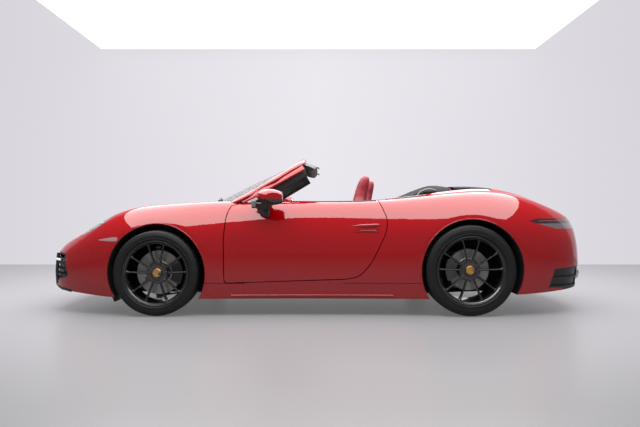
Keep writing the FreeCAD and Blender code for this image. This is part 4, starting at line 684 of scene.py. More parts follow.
def loftLoops(bm, stations, pointOf, steps):
    loops = []
    for station in stations:
        ring = bmesh.ops.create_circle(bm, cap_ends=False, radius=1, segments=steps)["verts"]
        for vert in ring:
            vert.co = pointOf(station, vert.co.copy())
        loops.append({e for v in ring for e in v.link_edges})
    for first, second in zip(loops, loops[1:]):
        bmesh.ops.bridge_loops(bm, edges=list(first | second))
    for loop in (loops[0], loops[-1]):
        bmesh.ops.holes_fill(bm, edges=list(loop), sides=0)


def sweepRing(bm, points, wide, tall, up=(0, 0, 1), steps=12):
    points = [Vector(p) for p in points]
    stations = []
    for k, point in enumerate(points):
        run = (points[min(k + 1, len(points) - 1)] - points[max(k - 1, 0)]).normalized()
        side = run.cross(Vector(up)).normalized()
        stations.append((point, side, side.cross(run)))
    loftLoops(bm, stations, lambda s, c: s[0] + s[1] * (c.x * wide) + s[2] * (c.y * tall), steps)


def roundedBox(bm, low, high, bevel=0.004, segments=3):
    verts = bmesh.ops.create_cube(bm, size=1)["verts"]
    low, high = Vector(low), Vector(high)
    bmesh.ops.scale(bm, vec=high - low, verts=verts)
    bmesh.ops.translate(bm, vec=(low + high) / 2, verts=verts)
    bevelEdges(bm, {e for v in verts for e in v.link_edges}, bevel, segments)


def copiedFaces(nodeName, test):
    bm = bmesh.new()
    bm.from_mesh(nodes[nodeName].data)
    bm.transform(nodes[nodeName].matrix_world)
    bmesh.ops.remove_doubles(bm, verts=bm.verts, dist=1e-5)
    bm.normal_update()
    bmesh.ops.delete(bm, geom=[f for f in bm.faces if not test(f.calc_center_median(), f.normal)],
                     context="FACES")
    return bm


def smoothStep(low, high, value):
    t = min(max((value - low) / (high - low), 0), 1)
    return t * t * (3 - 2 * t)


def rounded(value, power):
    return math.copysign(abs(value) ** power, value)


# Soft goods: a closed form is remeshed, swollen by cloth pressure, smoothed, and its seams are drawn in

softSpec = {"frames": 20, "pressure": 4.0, "seamDeep": 0.0045, "seamHalf": 0.0045}


def freezeModifiers(piece):
    graph = bpy.context.evaluated_depsgraph_get()
    mesh = bpy.data.meshes.new_from_object(piece.evaluated_get(graph))
    piece.modifiers.clear()
    piece.data = mesh


def softPiece(bm, name, voxel, cap):
    mergeForm(bm)
    piece = linkPiece(bm, name)
    remesh = piece.modifiers.new("evenFaces", "REMESH")
    remesh.mode = "VOXEL"
    remesh.voxel_size = voxel
    freezeModifiers(piece)
    start = [v.co.copy() for v in piece.data.vertices]
    scene.frame_set(1)
    cloth = piece.modifiers.new("swell", "CLOTH")
    cloth.settings.use_pressure = True
    cloth.settings.uniform_pressure_force = softSpec["pressure"]
    cloth.settings.effector_weights.gravity = 0
    for step in range(1, softSpec["frames"] + 1):
        scene.frame_set(step)
    freezeModifiers(piece)
    for vert, old in zip(piece.data.vertices, start):
        shift = vert.co - old
        if shift.length > cap:
            vert.co = old + shift * (cap / shift.length)
    scene.frame_set(1)
    finer = piece.modifiers.new("finer", "SUBSURF")
    finer.levels = finer.render_levels = 1
    freezeModifiers(piece)
    return piece


def drawSeams(piece, seams, deep=None, half=None):
    deep, half = deep or softSpec["seamDeep"], half or softSpec["seamHalf"]
    bm = bmesh.new()
    bm.from_mesh(piece.data)
    bm.normal_update()
    for vert in bm.verts:
        sink = 0
        for seam in seams:
            reach = seam(vert.co, vert.normal)
            if reach is not None and abs(reach) < 4 * half:
                sink = max(sink, math.exp(-(reach / half) ** 2))
        vert.co -= vert.normal * (deep * sink)
    bm.to_mesh(piece.data)
    bm.free()


def finishSoft(piece, finish, replaced=None):
    piece.data.materials.clear()
    piece.data.materials.append(materials[finish])
    piece.data.shade_smooth()
    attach(piece, "car")
    if replaced:
        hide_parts(replaced)


# Front seats, drawn round their own middle and then slid along their rails

seatSpec = {"y": 0.358, "slides": {"driver": 0.045, "passenger": -0.060}, "voxel": 0.011, "cap": 0.009}
# front edge x and z, rear edge x and z, half width, how far the side bolsters stand out
backStations = [(-0.178, 0.352, -0.330, 0.335, 0.205, 0.010), (-0.200, 0.430, -0.352, 0.415, 0.224, 0.030),
                (-0.232, 0.530, -0.376, 0.515, 0.230, 0.042), (-0.266, 0.635, -0.398, 0.625, 0.231, 0.044),
                (-0.300, 0.735, -0.420, 0.728, 0.226, 0.038), (-0.330, 0.815, -0.438, 0.810, 0.214, 0.026),
                (-0.352, 0.880, -0.452, 0.878, 0.184, 0.012), (-0.370, 0.940, -0.466, 0.940, 0.142, 0.004),
                (-0.386, 1.000, -0.478, 1.000, 0.126, 0.002), (-0.404, 1.060, -0.490, 1.058, 0.120, 0),
                (-0.420, 1.105, -0.497, 1.103, 0.106, 0), (-0.436, 1.130, -0.490, 1.128, 0.082, 0)]
# x, top, bottom, half width, bolster
squabStations = [(0.333, 0.292, 0.246, 0.196, 0), (0.322, 0.334, 0.238, 0.214, 0.004),
                 (0.285, 0.362, 0.232, 0.222, 0.012), (0.200, 0.368, 0.230, 0.226, 0.022),
                 (0.080, 0.360, 0.228, 0.226, 0.028), (-0.060, 0.350, 0.228, 0.224, 0.030),
                 (-0.170, 0.346, 0.230, 0.220, 0.022), (-0.220, 0.330, 0.244, 0.212, 0.006)]


def backPoint(station, spot):
    frontX, frontZ, rearX, rearZ, half, bolster = station
    c, s = rounded(spot.x, 0.55), rounded(spot.y, 0.6)
    arm = Vector((frontX - rearX, 0, frontZ - rearZ)) / 2
    middle = Vector((frontX + rearX, 0, frontZ + rearZ)) / 2
    raised = bolster * smoothStep(0.58, 0.86, abs(s)) * max(c, 0) ** 0.5
    dish = 0.010 * (1 - smoothStep(0.2, 0.75, abs(s))) * max(c, 0)
    return middle + arm * c + arm.normalized() * (raised - dish) + Vector((0, half * s, 0))


def squabPoint(station, spot):
    x, top, bottom, half, bolster = station
    c, s = rounded(spot.x, 0.6), rounded(spot.y, 0.55)
    raised = bolster * smoothStep(0.58, 0.86, abs(c)) * max(s, 0) ** 0.5
    dish = 0.008 * (1 - smoothStep(0.2, 0.75, abs(c))) * max(s, 0)
    return Vector((x, half * c, (top + bottom) / 2 + (top - bottom) / 2 * s + raised - dish))


def panelHalf(z):
    return 0.150 - 0.062 * smoothStep(0.78, 0.98, z)


def backSeams():
    def edge(co, normal):
        return abs(co.y) - panelHalf(co.z) if normal.x > 0.1 and co.z < 1.06 else None

    def across(level):
        def seam(co, normal):
            onPanel = normal.x > 0.1 and abs(co.y) < panelHalf(co.z)
            return co.z - level - 0.25 * co.y ** 2 if onPanel else None
        return seam

    def rearEdge(co, normal):
        return co.x + 0.372 + 0.16 * (co.z - 0.5) if abs(normal.y) > 0.5 and co.z < 0.9 else None

    return [edge, across(0.560), across(0.660), across(0.760), across(0.915), rearEdge]


def squabSeams():
    def edge(co, normal):
        return abs(co.y) - 0.150 if normal.z > 0.1 else None

    def across(place):
        return lambda co, normal: co.x - place if normal.z > 0.1 and abs(co.y) < 0.150 else None

    def skirt(co, normal):
        return co.z - 0.285 if abs(normal.z) < 0.6 and co.x < 0.3 else None

    return [edge, across(0.215), across(0.110), across(0.005), skirt]


def makeSeats():
    bm = bmesh.new()
    loftLoops(bm, backStations, backPoint, 64)
    back = softPiece(bm, "seatBackShape", seatSpec["voxel"], seatSpec["cap"])
    drawSeams(back, backSeams())
    bm = bmesh.new()
    loftLoops(bm, squabStations, squabPoint, 64)
    squab = softPiece(bm, "seatSquabShape", seatSpec["voxel"], seatSpec["cap"])
    drawSeams(squab, squabSeams())
    for who, slide in seatSpec["slides"].items():
        move = Matrix.Translation((slide, seatSpec["y"] if who == "driver" else -seatSpec["y"], 0))
        for shape, part in ((back, "Back"), (squab, "Squab")):
            mesh = shape.data.copy()
            mesh.transform(move)
            piece = bpy.data.objects.new(who + part, mesh)
            scene.collection.objects.link(piece)
            finishSoft(piece, "redHide", who + "_seat" if part == "Back" else None)
        bm = bmesh.new()
        roundedBox(bm, (-0.215, -0.200, 0.192), (0.290, 0.200, 0.246), 0.012)
        for side in (-1, 1):
            rail, hinge = side * 0.175, side * 0.232
            roundedBox(bm, (-0.250, rail - 0.016, 0.1655), (0.325, rail + 0.016, 0.196), 0.003)
            roundedBox(bm, (-0.290, hinge - 0.011, 0.245), (-0.165, hinge + 0.011, 0.345), 0.010)
        bm.transform(move)
        keepPiece(bm, who + "SeatBase", "blackPlastic", "car")
    bpy.data.objects.remove(back)
    bpy.data.objects.remove(squab)


def shrinkForm(bm, inset):
    for vert, move in [(v, -v.normal * inset) for v in bm.verts]:
        vert.co += move


def shrunkCopy(nodeName, inset):
    bm = copiedFaces(nodeName, lambda co, normal: True)
    shrinkForm(bm, inset)
    return bm


def makeRearSeats():
    piece = softPiece(shrunkCopy("rear_seats", 0.006), "rearSeatPads", 0.015, 0.007)

    def middle(co, normal):
        return abs(co.y) - 0.345 if normal.x > 0.1 or normal.z > 0.3 else None

    def edge(co, normal):
        onTop = normal.x > 0.1 or normal.z > 0.3
        return min(abs(co.y) - 0.185, 0.505 - abs(co.y), key=abs) if onTop else None

    def bend(co, normal):
        return co.z - 0.62 if normal.x > 0.1 and 0.185 < abs(co.y) < 0.505 else None

    drawSeams(piece, [middle, edge, bend])
    finishSoft(piece, "redHide", "rear_seats")


def makeFoldedTop():
    piece = softPiece(shrunkCopy("folded_top", 0.006), "foldedCanvas", 0.0145, 0.008)

    def fold(place, bow):
        return lambda co, normal: co.x - place - bow * co.y ** 2 if normal.z > 0.1 else None

    def sideFold(co, normal):
        return co.z - 0.895 - 0.22 * max(0, -0.75 - co.x) if abs(normal.y) > 0.3 else None

    drawSeams(piece, [fold(-0.660, -0.05), fold(-0.845, -0.10), fold(-1.135, -0.02), sideFold], 0.009, 0.010)
    drawSeams(piece, [fold(-0.930, -0.10), fold(-1.150, -0.02)], 0.003, 0.005)
    finishSoft(piece, "topCanvas", "folded_top")


makeSeats()
makeRearSeats()
makeFoldedTop()
paintNode("top_lid", "topCanvas")
print("soft goods made")

# Trim that lies on the CAD surfaces: patches and sweeps are cast onto them, so they follow every curve

def patchOn(bm, tree, centre, axes, halves, cast, lift, roundness=1.0, thick=0.003, cells=14, taper=0.0):
    grid = bmesh.ops.create_grid(bm, x_segments=cells, y_segments=cells, size=1)
    cast = Vector(cast).normalized()
    across, along = Vector(axes[0]), Vector(axes[1])
    for vert in grid["verts"]:
        u, v = vert.co.x, vert.co.y
        roundU, roundV = u * math.sqrt(1 - v * v / 2), v * math.sqrt(1 - u * u / 2)
        u, v = u + (roundU - u) * roundness, v + (roundV - v) * roundness
        v *= 1 - taper * smoothStep(-0.6, 1.0, u)
        start = Vector(centre) + across * (u * halves[0]) + along * (v * halves[1]) - cast * 0.3
        hit = castOn(tree, start, cast)
        vert.co = (hit or start + cast * 0.3) - cast * lift
    faces = {f for v in grid["verts"] for f in v.link_faces}
    bmesh.ops.solidify(bm, geom=list(faces), thickness=thick)


def castPath(tree, starts, direction, lift):
    hits = [castOn(tree, start, direction) for start in starts]
    return [hit - Vector(direction).normalized() * lift for hit in hits if hit]


def sweptPiece(name, finish, body, slotName, points, wide, tall, up=(0, 0, 1), steps=12):
    bm = bmesh.new()
    sweepRing(bm, points, wide, tall, up, steps)
    return keepPiece(bm, name, finish, body)


def patchPiece(name, finish, body, slotName, *patch):
    bm = bmesh.new()
    patchOn(bm, *patch)
    return keepPiece(bm, name, finish, body)


def alongSide(side, points, steps=6):  # a smooth path on the car's left (1) or right (-1)
    return curvePath([(x, side * y, z) for x, y, z in points], steps)


noseTree = surfaceOf("front_wings", "front_bumper")
bumperTree, intakeTree = surfaceOf("front_bumper"), surfaceOf("front_intakes")
skirtTree, quarterTree = surfaceOf("side_skirts"), surfaceOf("rear_quarters")
tailTree, glassTree = surfaceOf("tail_lamp"), surfaceOf("windscreen")
dashTree, consoleTree = surfaceOf("dashboard"), surfaceOf("centre_console")
sideNames = {1: "left", -1: "right"}
doorTrees, trimTrees, mirrorTrees = [{side: surfaceOf(start + name) for side, name in sideNames.items()}
                                     for start in ("door_", "door_trim_", "mirror_")]
acrossUp, alongUp = ((0, 1, 0), (0, 0, 1)), ((1, 0, 0), (0, 0, 1))  # the two axes of a patch

headerSpec = {"line": [(0.080, 0.530, 1.186), (0.062, 0.450, 1.203), (0.056, 0.250, 1.222),
                       (0.056, 0, 1.229)], "deep": 0.062, "tall": 0.015}
pillarLine = [(0.600, 0.742, 0.905), (0.520, 0.728, 0.948), (0.400, 0.700, 1.018), (0.290, 0.676, 1.082),
              (0.190, 0.652, 1.140), (0.112, 0.632, 1.186)]
lipSpec = {"inset": 0.0045, "sunk": 0.0010, "halves": (0.0050, 0.0040), "lowest": 0.175}
pillarSpec = {"cover": (0.022, 0.007), "lining": (0.056, 0.012)}


def ellipsoid(bm, halves, place, rows):
    form = bmesh.ops.create_uvsphere(bm, u_segments=40, v_segments=rows, radius=1)
    bmesh.ops.scale(bm, vec=halves, verts=form["verts"])
    bmesh.ops.translate(bm, vec=place, verts=form["verts"])


def makeHeader():
    bm = bmesh.new()
    left = curvePath(headerSpec["line"])
    line = left + [Vector((p.x, -p.y, p.z)) for p in reversed(left[:-1])]
    sweepRing(bm, line, headerSpec["deep"], headerSpec["tall"], (-0.32, 0, 1), 20)
    for side in (1, -1):
        hook = alongSide(side, [(0.010, 0.400, 1.192), (-0.010, 0.400, 1.196), (-0.020, 0.400, 1.184)], 4)
        sweepRing(bm, hook, 0.016, 0.006, (0, 0, 1), 10)
    keepPiece(bm, "headerTrim", "blackPlastic", "car")
    bm = bmesh.new()
    for side in (1, -1):
        roundedBox(bm, (-0.075, side * 0.30 - 0.175, -0.008), (0.075, side * 0.30 + 0.175, 0.008), 0.007)
    bm.transform(Matrix.Translation((0.172, 0, 1.180)) @ Matrix.Rotation(math.radians(25), 4, "Y"))
    keepPiece(bm, "sunVisors", "blackHide", "car")
    bm = bmesh.new()
    ellipsoid(bm, (0.020, 0.118, 0.034), (0.205, 0, 1.130), 24)
    bmesh.ops.bisect_plane(bm, geom=bm.verts[:] + bm.edges[:] + bm.faces[:], plane_co=(0.199, 0, 1.13),
                           plane_no=(-1, 0, 0), clear_outer=True)
    bmesh.ops.holes_fill(bm, edges=[e for e in bm.edges if e.is_boundary], sides=0)
    stalk = curvePath([(0.212, 0, 1.140), (0.228, 0, 1.168), (0.236, 0, 1.196)], 4)
    sweepRing(bm, stalk, 0.008, 0.007, (0, 1, 0), 12)
    keepPiece(bm, "insideMirror", "blackPlastic", "car")
    bm = bmesh.new()
    bmesh.ops.create_circle(bm, cap_ends=True, segments=48, radius=1)
    bmesh.ops.scale(bm, vec=(0.029, 0.106, 1), verts=bm.verts)
    bmesh.ops.rotate(bm, matrix=Matrix.Rotation(math.pi / 2, 3, "Y"), verts=bm.verts)
    bmesh.ops.translate(bm, vec=(0.1978, 0, 1.130), verts=bm.verts)
    bmesh.ops.solidify(bm, geom=bm.faces[:], thickness=0.001)
    keepPiece(bm, "insideMirrorGlass", "mirrorSilver", "car")


def makePillar(side):
    name = sideNames[side]
    line = alongSide(side, pillarLine, 5)
    cover = [p + Vector((-0.005, 0, -0.009)) for p in line]
    sweptPiece("pillarCover_" + name, "redLacquer", "car", "body_paint", cover, *pillarSpec["cover"],
               (-0.25, side * 0.72, 0.65), 20)
    lining = [p + Vector((-0.015, -side * 0.036, -0.026)) for p in line if p.x < 0.45]
    sweptPiece("pillarLining_" + name, "blackPlastic", "car", "dash", lining, *pillarSpec["lining"],
               (0, 1, 0), 20)


def makeWipers():
    bm = bmesh.new()
    for pivot, ends in (((0.812, 0.470), [(0.768, 0.590), (0.828, 0.440), (0.856, 0.260), (0.868, 0.050)]),
                        ((0.868, -0.020), [(0.854, -0.040), (0.850, -0.200), (0.828, -0.380),
                                           (0.778, -0.560)])):
        starts = [(x, y, 1.6) for x, y in ends]
        blade = castPath(glassTree, starts, (0, 0, -1), 0.007)
        sweepRing(bm, curvePath(blade, 6), 0.0045, 0.0055, (0, 0, 1), 8)
        spine = [p + Vector((-0.002, 0, 0.008)) for p in curvePath(blade, 6)]
        sweepRing(bm, spine, 0.0065, 0.0025, (0, 0, 1), 8)
        middle = (blade[1] + blade[2]) / 2 + Vector((0, 0, 0.016))
        ground = castOn(glassTree, (pivot[0] - 0.02, pivot[1], 1.6), (0, 0, -1)) or middle
        foot = Vector((pivot[0] + 0.012, pivot[1], ground.z - 0.002))
        arm = curvePath([foot, (foot + middle) / 2 + Vector((0, 0, 0.012)), middle], 6)
        sweepRing(bm, arm, 0.0075, 0.005, (0, 0, 1), 10)
        moveVerts(coneOn(bm, 0.014, 0.012, 0.020, 24), foot)
    keepPiece(bm, "wiperArms", "blackPlastic", "car")


def makeSideMirror(side):
    name, place = sideNames[side], (0.3, side * 0.925, 0.930)
    for label, finish, slotName, halves, lift in (
            ("mirrorGlass_", "mirrorSilver", "clear_glass", (0.062, 0.040), 0.0012),
            ("mirrorBezel_", "blackPlastic", "black_trim", (0.070, 0.047), 0.0004)):
        patchPiece(label + name, finish, "door_" + name, slotName, mirrorTrees[side], place, acrossUp,
                   halves, (1, 0, 0), lift, 0.8, 0.002)


def makeMirrorFoot(side):
    bm = bmesh.new()
    stations = []
    for x, z, half, out in ((0.392, 0.776, 0.018, -0.004), (0.400, 0.790, 0.030, 0.004),
                            (0.410, 0.812, 0.042, 0.012), (0.420, 0.838, 0.052, 0.022),
                            (0.426, 0.862, 0.056, 0.040), (0.426, 0.884, 0.052, 0.062)):
        skin = castOn(doorTrees[side], (x, side * 3, min(z, 0.840)), (0, -side, 0))
        stations.append((Vector((x, skin.y + side * out, z)), half))

    def pointOf(station, c):
        return station[0] + Vector((c.x * station[1], c.y * 0.020, -0.004 * c.y * side))

    loftLoops(bm, stations, pointOf, 28)
    name = sideNames[side]
    keepPiece(bm, "mirrorFoot_" + name, "blackPlastic", "door_" + name)


handleSpec = {"middle": (-0.390, 0.698), "halves": (0.140, 0.052), "crown": 0.0016}


def smoothDoor(side):  # the door's skin round its handle, carried straight across the recess
    bm = bmesh.new()
    grid = bmesh.ops.create_grid(bm, x_segments=24, y_segments=1, size=1)
    (x, z), (wide, tall) = handleSpec["middle"], handleSpec["halves"]
    for vert in grid["verts"]:
        start = (x + wide * vert.co.x, side * 3, z + tall * vert.co.y)
        vert.co = castOn(doorTrees[side], start, (0, -side, 0)) + Vector((0, side * 0.0005, 0))
    uprights = [e for e in bm.edges if abs(e.verts[0].co.z - e.verts[1].co.z) > tall]
    bmesh.ops.subdivide_edges(bm, edges=uprights, cuts=7)
    for vert in bm.verts:
        share = (vert.co.z - z) / tall
        vert.co.y += side * handleSpec["crown"] * (1 - share * share)
    tree = BVHTree.FromBMesh(bm)
    bm.free()
    return tree


def makeHandle(side):
    name, tree = sideNames[side], smoothDoor(side)
    body = "door_" + name
    inwards = (0, -side, 0)
    patchPiece("handlePlate_" + name, "redLacquer", body, "body_paint", tree, (-0.3965, side * 0.87, 0.698),
               alongUp, (0.116, 0.043), inwards, 0.0006, 0.12, 0.0012, 20)
    # the black patch below the blade lies flat on the smoothed skin: painted shade of the recess under the
    # handle
    patchPiece("handleRecessShade_" + name, "softRubber", body, "black_trim", tree, (-0.402, side * 0.87, 0.684),
               alongUp, (0.066, 0.0110), inwards, 0.0016, 0.7, 0.0010, 20)
    bm = bmesh.new()
    stations = []
    for k in range(22):
        share = k / 21
        skin = castOn(tree, (-0.276 - 0.212 * share, side * 3, 0.7035 + 0.006 * share), inwards)
        full = smoothStep(0, 0.45, share) * 0.8 + 0.2 - 0.25 * smoothStep(0.9, 1.0, share)
        stations.append((skin + Vector((0, side * 0.007 * full, 0)), 0.0090 * full, 0.0120 * full))
    loftLoops(bm, stations, lambda s, c: s[0] + Vector((0, c.x * s[1], c.y * s[2])), 20)
    keepPiece(bm, "handleBlade_" + name, "redLacquer", body)
    ledge = castPath(tree, [(-0.335 - 0.012 * k, side * 3, 0.6685) for k in range(12)], inwards, 0.001)
    sweptPiece("handleLedge_" + name, "redLacquer", body, "body_paint", ledge, 0.0040, 0.0040, (0, 0, 1), 10)


def makeArchLips(side):  # the rolled edge of each wheel arch
    tree = surfaceOf("front_wings", "front_bumper", "side_skirts", "rear_quarters", "rear_bumper")
    for arch, end in zip(arches, ("front", "rear")):
        x, z, out = arch["centre"][0], arch["centre"][2], arch["radius"] + lipSpec["inset"]
        turns = [math.radians(turn) for turn in range(-24, 205, 3)]
        starts = [(x + out * math.cos(turn), side * 3, z + out * math.sin(turn)) for turn in turns]
        starts = [start for start in starts if start[2] > lipSpec["lowest"]]
        line = [p for p in castPath(tree, starts, (0, -side, 0), -lipSpec["sunk"]) if abs(p.y) > 0.7]
        sweptPiece("archLip_" + end + "_" + sideNames[side], "redLacquer", "car", "body_paint", line,
                   *lipSpec["halves"], (0, 1, 0), 14)


def makeSill(side):
    line = castPath(skirtTree, [(0.670 - 0.0317 * k, side * 3, 0.160) for k in range(41)], (0, -side, 0),
                    -0.001)
    sweptPiece("sillLedge_" + sideNames[side], "redLacquer", "car", "body_paint", line, 0.0095, 0.0085,
               (0, 0, 1), 14)


def makeTailLine():
    line = []
    for turn in range(118, 243, 2):
        out = Vector((math.cos(math.radians(turn)), math.sin(math.radians(turn)), 0))
        hit = castOn(tailTree, Vector((-1.3, 0, 0.742)) + out * 2, -out)
        if hit:
            line.append(hit + out * 0.001)
    sweptPiece("tailLine", "redLens", "car", "tail_lens", line, 0.0025, 0.0030, (0, 0, 1), 8)


def makeTopSide(side):
    flap = alongSide(side, [(-0.580, 0.630, 0.900), (-0.700, 0.630, 0.916), (-0.850, 0.628, 0.932),
                            (-0.980, 0.620, 0.946), (-1.120, 0.600, 0.960)])
    sweptPiece("topFlap_" + sideNames[side], "topCanvas", "car", "top_fabric", flap, 0.024, 0.012, (0, 0, 1),
               14)


def makeBelt(side):  # seals and mouldings along the belt line
    name = sideNames[side]
    places = [0.50 - 0.0490 * k for k in range(21)]
    starts = [(x, side * (0.706 + 0.012 * smoothStep(0.5, -0.4, x)), 1.5) for x in places]
    line = castPath(doorTrees[side], starts, (0, 0, -1), 0.0015)
    sweptPiece("beltSeal_" + name, "softRubber", "door_" + name, "black_trim", line, 0.010, 0.0042,
               (0, 0, 1), 10)
    starts = [(-0.560 - 0.0165 * k, side * (0.680 - 0.0012 * k), 1.5) for k in range(21)]
    line = castPath(quarterTree, starts, (0, 0, -1), 0.0015)
    sweptPiece("quarterMoulding_" + name, "greyTrim", "car", "black_trim", line, 0.012, 0.0048, (0, 0, 1),
               10)
    hoop = alongSide(side, [(-0.830, 0.575, 0.945), (-0.870, 0.572, 0.985), (-0.935, 0.566, 1.003),
                            (-0.990, 0.560, 0.992)])
    sweptPiece("topHoop_" + name, "greyTrim", "car", "top_fabric", hoop, 0.007, 0.007, (0, 1, 0))


lampSpec = {"middle": (1.772, 0.628, 0.704), "direction": (0.7226, 0.3011, 0.6222), "bowlDeep": 0.016,
            "spread": (0.046, 0.030)}


def makeHeadlampInside():
    x, y, z = lampSpec["direction"]

    def facing(co, normal):
        return normal.dot(Vector((x, math.copysign(y, co.y), z))) > 0.45

    bm = copiedFaces("headlamps", facing)
    shrinkForm(bm, lampSpec["bowlDeep"])
    keepPiece(bm, "lampBowls", "lampInner", "car")
    tree = surfaceOf("headlamps")
    wide, tall = lampSpec["spread"]
    for name, half, deep, finish in (("lampPoints", 0.013, 0.009, "whiteLight"),
                                     ("lampRings", 0.021, 0.012, "lampChrome")):
        bm = bmesh.new()
        for side in (1, -1):
            direction, middle = Vector((x, y * side, z)), Vector(lampSpec["middle"])
            middle.y *= side
            lengthwise = (Vector((1, 0, 0)) - direction * direction.x).normalized()
            crosswise = direction.cross(lengthwise)
            for u, v in ((-1, -1), (-1, 1), (1, -1), (1, 1)):
                spot = middle + lengthwise * (u * wide) + crosswise * (v * tall)
                patchOn(bm, tree, spot, (lengthwise, crosswise), (half, half), -direction, -deep, 1.0, 0.002,
                        8)
        keepPiece(bm, name, finish, "car")


def makeNose(side):
    name = sideNames[side]
    bar = alongSide(side, [(2.150, 0.480, 0.430), (2.142, 0.560, 0.430), (2.126, 0.640, 0.431),
                           (2.098, 0.700, 0.432), (2.060, 0.738, 0.433)])
    sweptPiece("intakeLight_" + name, "whiteLight", "car", "lamp_glass", bar, 0.005, 0.0090)
    bm = bmesh.new()
    for low in (0.375, 0.320, 0.265):
        starts = [(3, side * (0.440 + 0.014 * k), low + 0.0006 * k) for k in range(22)]
        sweepRing(bm, castPath(intakeTree, starts, (-1, 0, 0), 0.001), 0.004, 0.0035, (0, 0, 1), 10)
    guide = [(2.128, 0.606, 0.478), (2.133, 0.614, 0.400), (2.133, 0.622, 0.320), (2.124, 0.628, 0.232)]
    sweepRing(bm, alongSide(side, guide, 5), 0.014, 0.010, (0, 1, 0), 12)
    keepPiece(bm, "intakeBlades_" + name, "glossBlack", "car")
    patchPiece("sideMarker_" + name, "markerLens", "car", "lamp_glass", noseTree,
               (1.632, side * 0.82, 0.598), ((1, 0, -0.05), (0, 0, 1)), (0.080, 0.015), (0, -side, 0),
               0.0012, 0.35, 0.003, 18, 0.75)
    bm = bmesh.new()
    roundedBox(bm, (-0.006, -0.105, -0.055), (0.006, 0.105, 0.004), 0.003)
    lean = Matrix.Rotation(math.radians(24), 4, "Y") @ Matrix.Rotation(math.radians(side * 8), 4, "Z")
    bm.transform(Matrix.Translation((1.628, side * 0.705, 0.148)) @ lean)
    keepPiece(bm, "airFlap_" + name, "softRubber", "car")


def lowestOn(tree, start, direction):
    levels = [0.300 - 0.005 * k for k in range(36)]
    hits = [castOn(tree, (start[0], start[1], level), direction) for level in levels]
    hits = [hit for hit in hits if hit]
    return hits[-1] if hits else None


def makeLip():
    line = []
    for turn in range(-44, 45, 2):
        start = (1.2 + 2 * math.cos(math.radians(turn)), 2 * math.sin(math.radians(turn)))
        hit = lowestOn(bumperTree, start, (1.2 - start[0], -start[1], 0))
        if hit:
            line.append(hit + Vector((0, 0, 0.004)))
    sweptPiece("frontLip", "blackPlastic", "car", "black_trim", line, 0.006, 0.013, (0, 0, 1), 10)


# Cabin fittings

columnPlace = Matrix.Translation((0.300, 0.358, 0.742)) @ Matrix.Rotation(math.radians(-66), 4, "Y")


def makeWheelDress():
    bm = bmesh.new()
    ellipsoid(bm, (0.064, 0.066, 0.014), (0, 0, 0.016), 20)
    bm.transform(columnPlace)
    keepPiece(bm, "hornPad", "blackHide", "steering_wheel")
    bm = bmesh.new()
    for low, high in (((-0.013, 0.066, 0.006), (0.013, 0.150, 0.011)),
                      ((-0.013, -0.150, 0.006), (0.013, -0.066, 0.011)),
                      ((0.066, -0.010, 0.006), (0.150, 0.010, 0.011))):
        roundedBox(bm, low, high, 0.002)
    bm.transform(columnPlace)
    keepPiece(bm, "spokeTrims", "satinSilver", "steering_wheel")


def ringOn(bm, tree, centre, radius, thick):
    turns = [math.tau * k / 48 for k in range(49)]
    ring = [Vector(centre) + Vector((-0.3, radius * math.cos(turn),
                                     radius * math.sin(turn))) for turn in turns]
    sweepRing(bm, castPath(tree, ring, (1, 0, 0), 0.002), thick, thick, (1, 0, 0), 8)


dialSpec = {"dials": [(0.358, 0.800, 0.047), (0.272, 0.796, 0.037), (0.444, 0.796, 0.037)], "faceX": 0.42,
            "screen": ((0.42, -0.005, 0.745), (0.128, 0.048)), "vents": (-0.560, -0.330, 0.130, 0.585)}


def makeDash():
    dials, faceX = dialSpec["dials"], dialSpec["faceX"]
    bm = bmesh.new()
    for y, z, radius in dials:
        patchOn(bm, dashTree, (faceX, y, z), acrossUp, (radius, radius), (1, 0, 0), 0.003, 1.0, 0.003, 10)
    place, halves = dialSpec["screen"]
    patchOn(bm, dashTree, place, acrossUp, halves, (1, 0, 0), 0.003, 0.12, 0.003, 16)
    keepPiece(bm, "dialGlass", "screenGlass", "car")
    bm = bmesh.new()
    for y, z, radius in dials:
        ringOn(bm, dashTree, (faceX, y, z), radius, 0.0022)
    for y in dialSpec["vents"]:
        for z in (0.700, 0.714, 0.728, 0.742):
            slat = castPath(dashTree, [(0.2, y - 0.05 + 0.01 * n, z) for n in range(11)], (1, 0, 0), 0.002)
            if len(slat) > 3:
                sweepRing(bm, slat, 0.003, 0.0018, (0, 0, 1), 8)
    keepPiece(bm, "dialRings", "satinSilver", "car")
    bm = bmesh.new()
    for y, z, radius in dials:
        ends = [(0.1, y, z), (0.1, y - radius * 0.55, z + radius * 0.45)]
        sweepRing(bm, castPath(dashTree, ends, (1, 0, 0), 0.0072), 0.0012, 0.0012, (1, 0, 0), 6)
    keepPiece(bm, "dialHands", "redLens", "car")


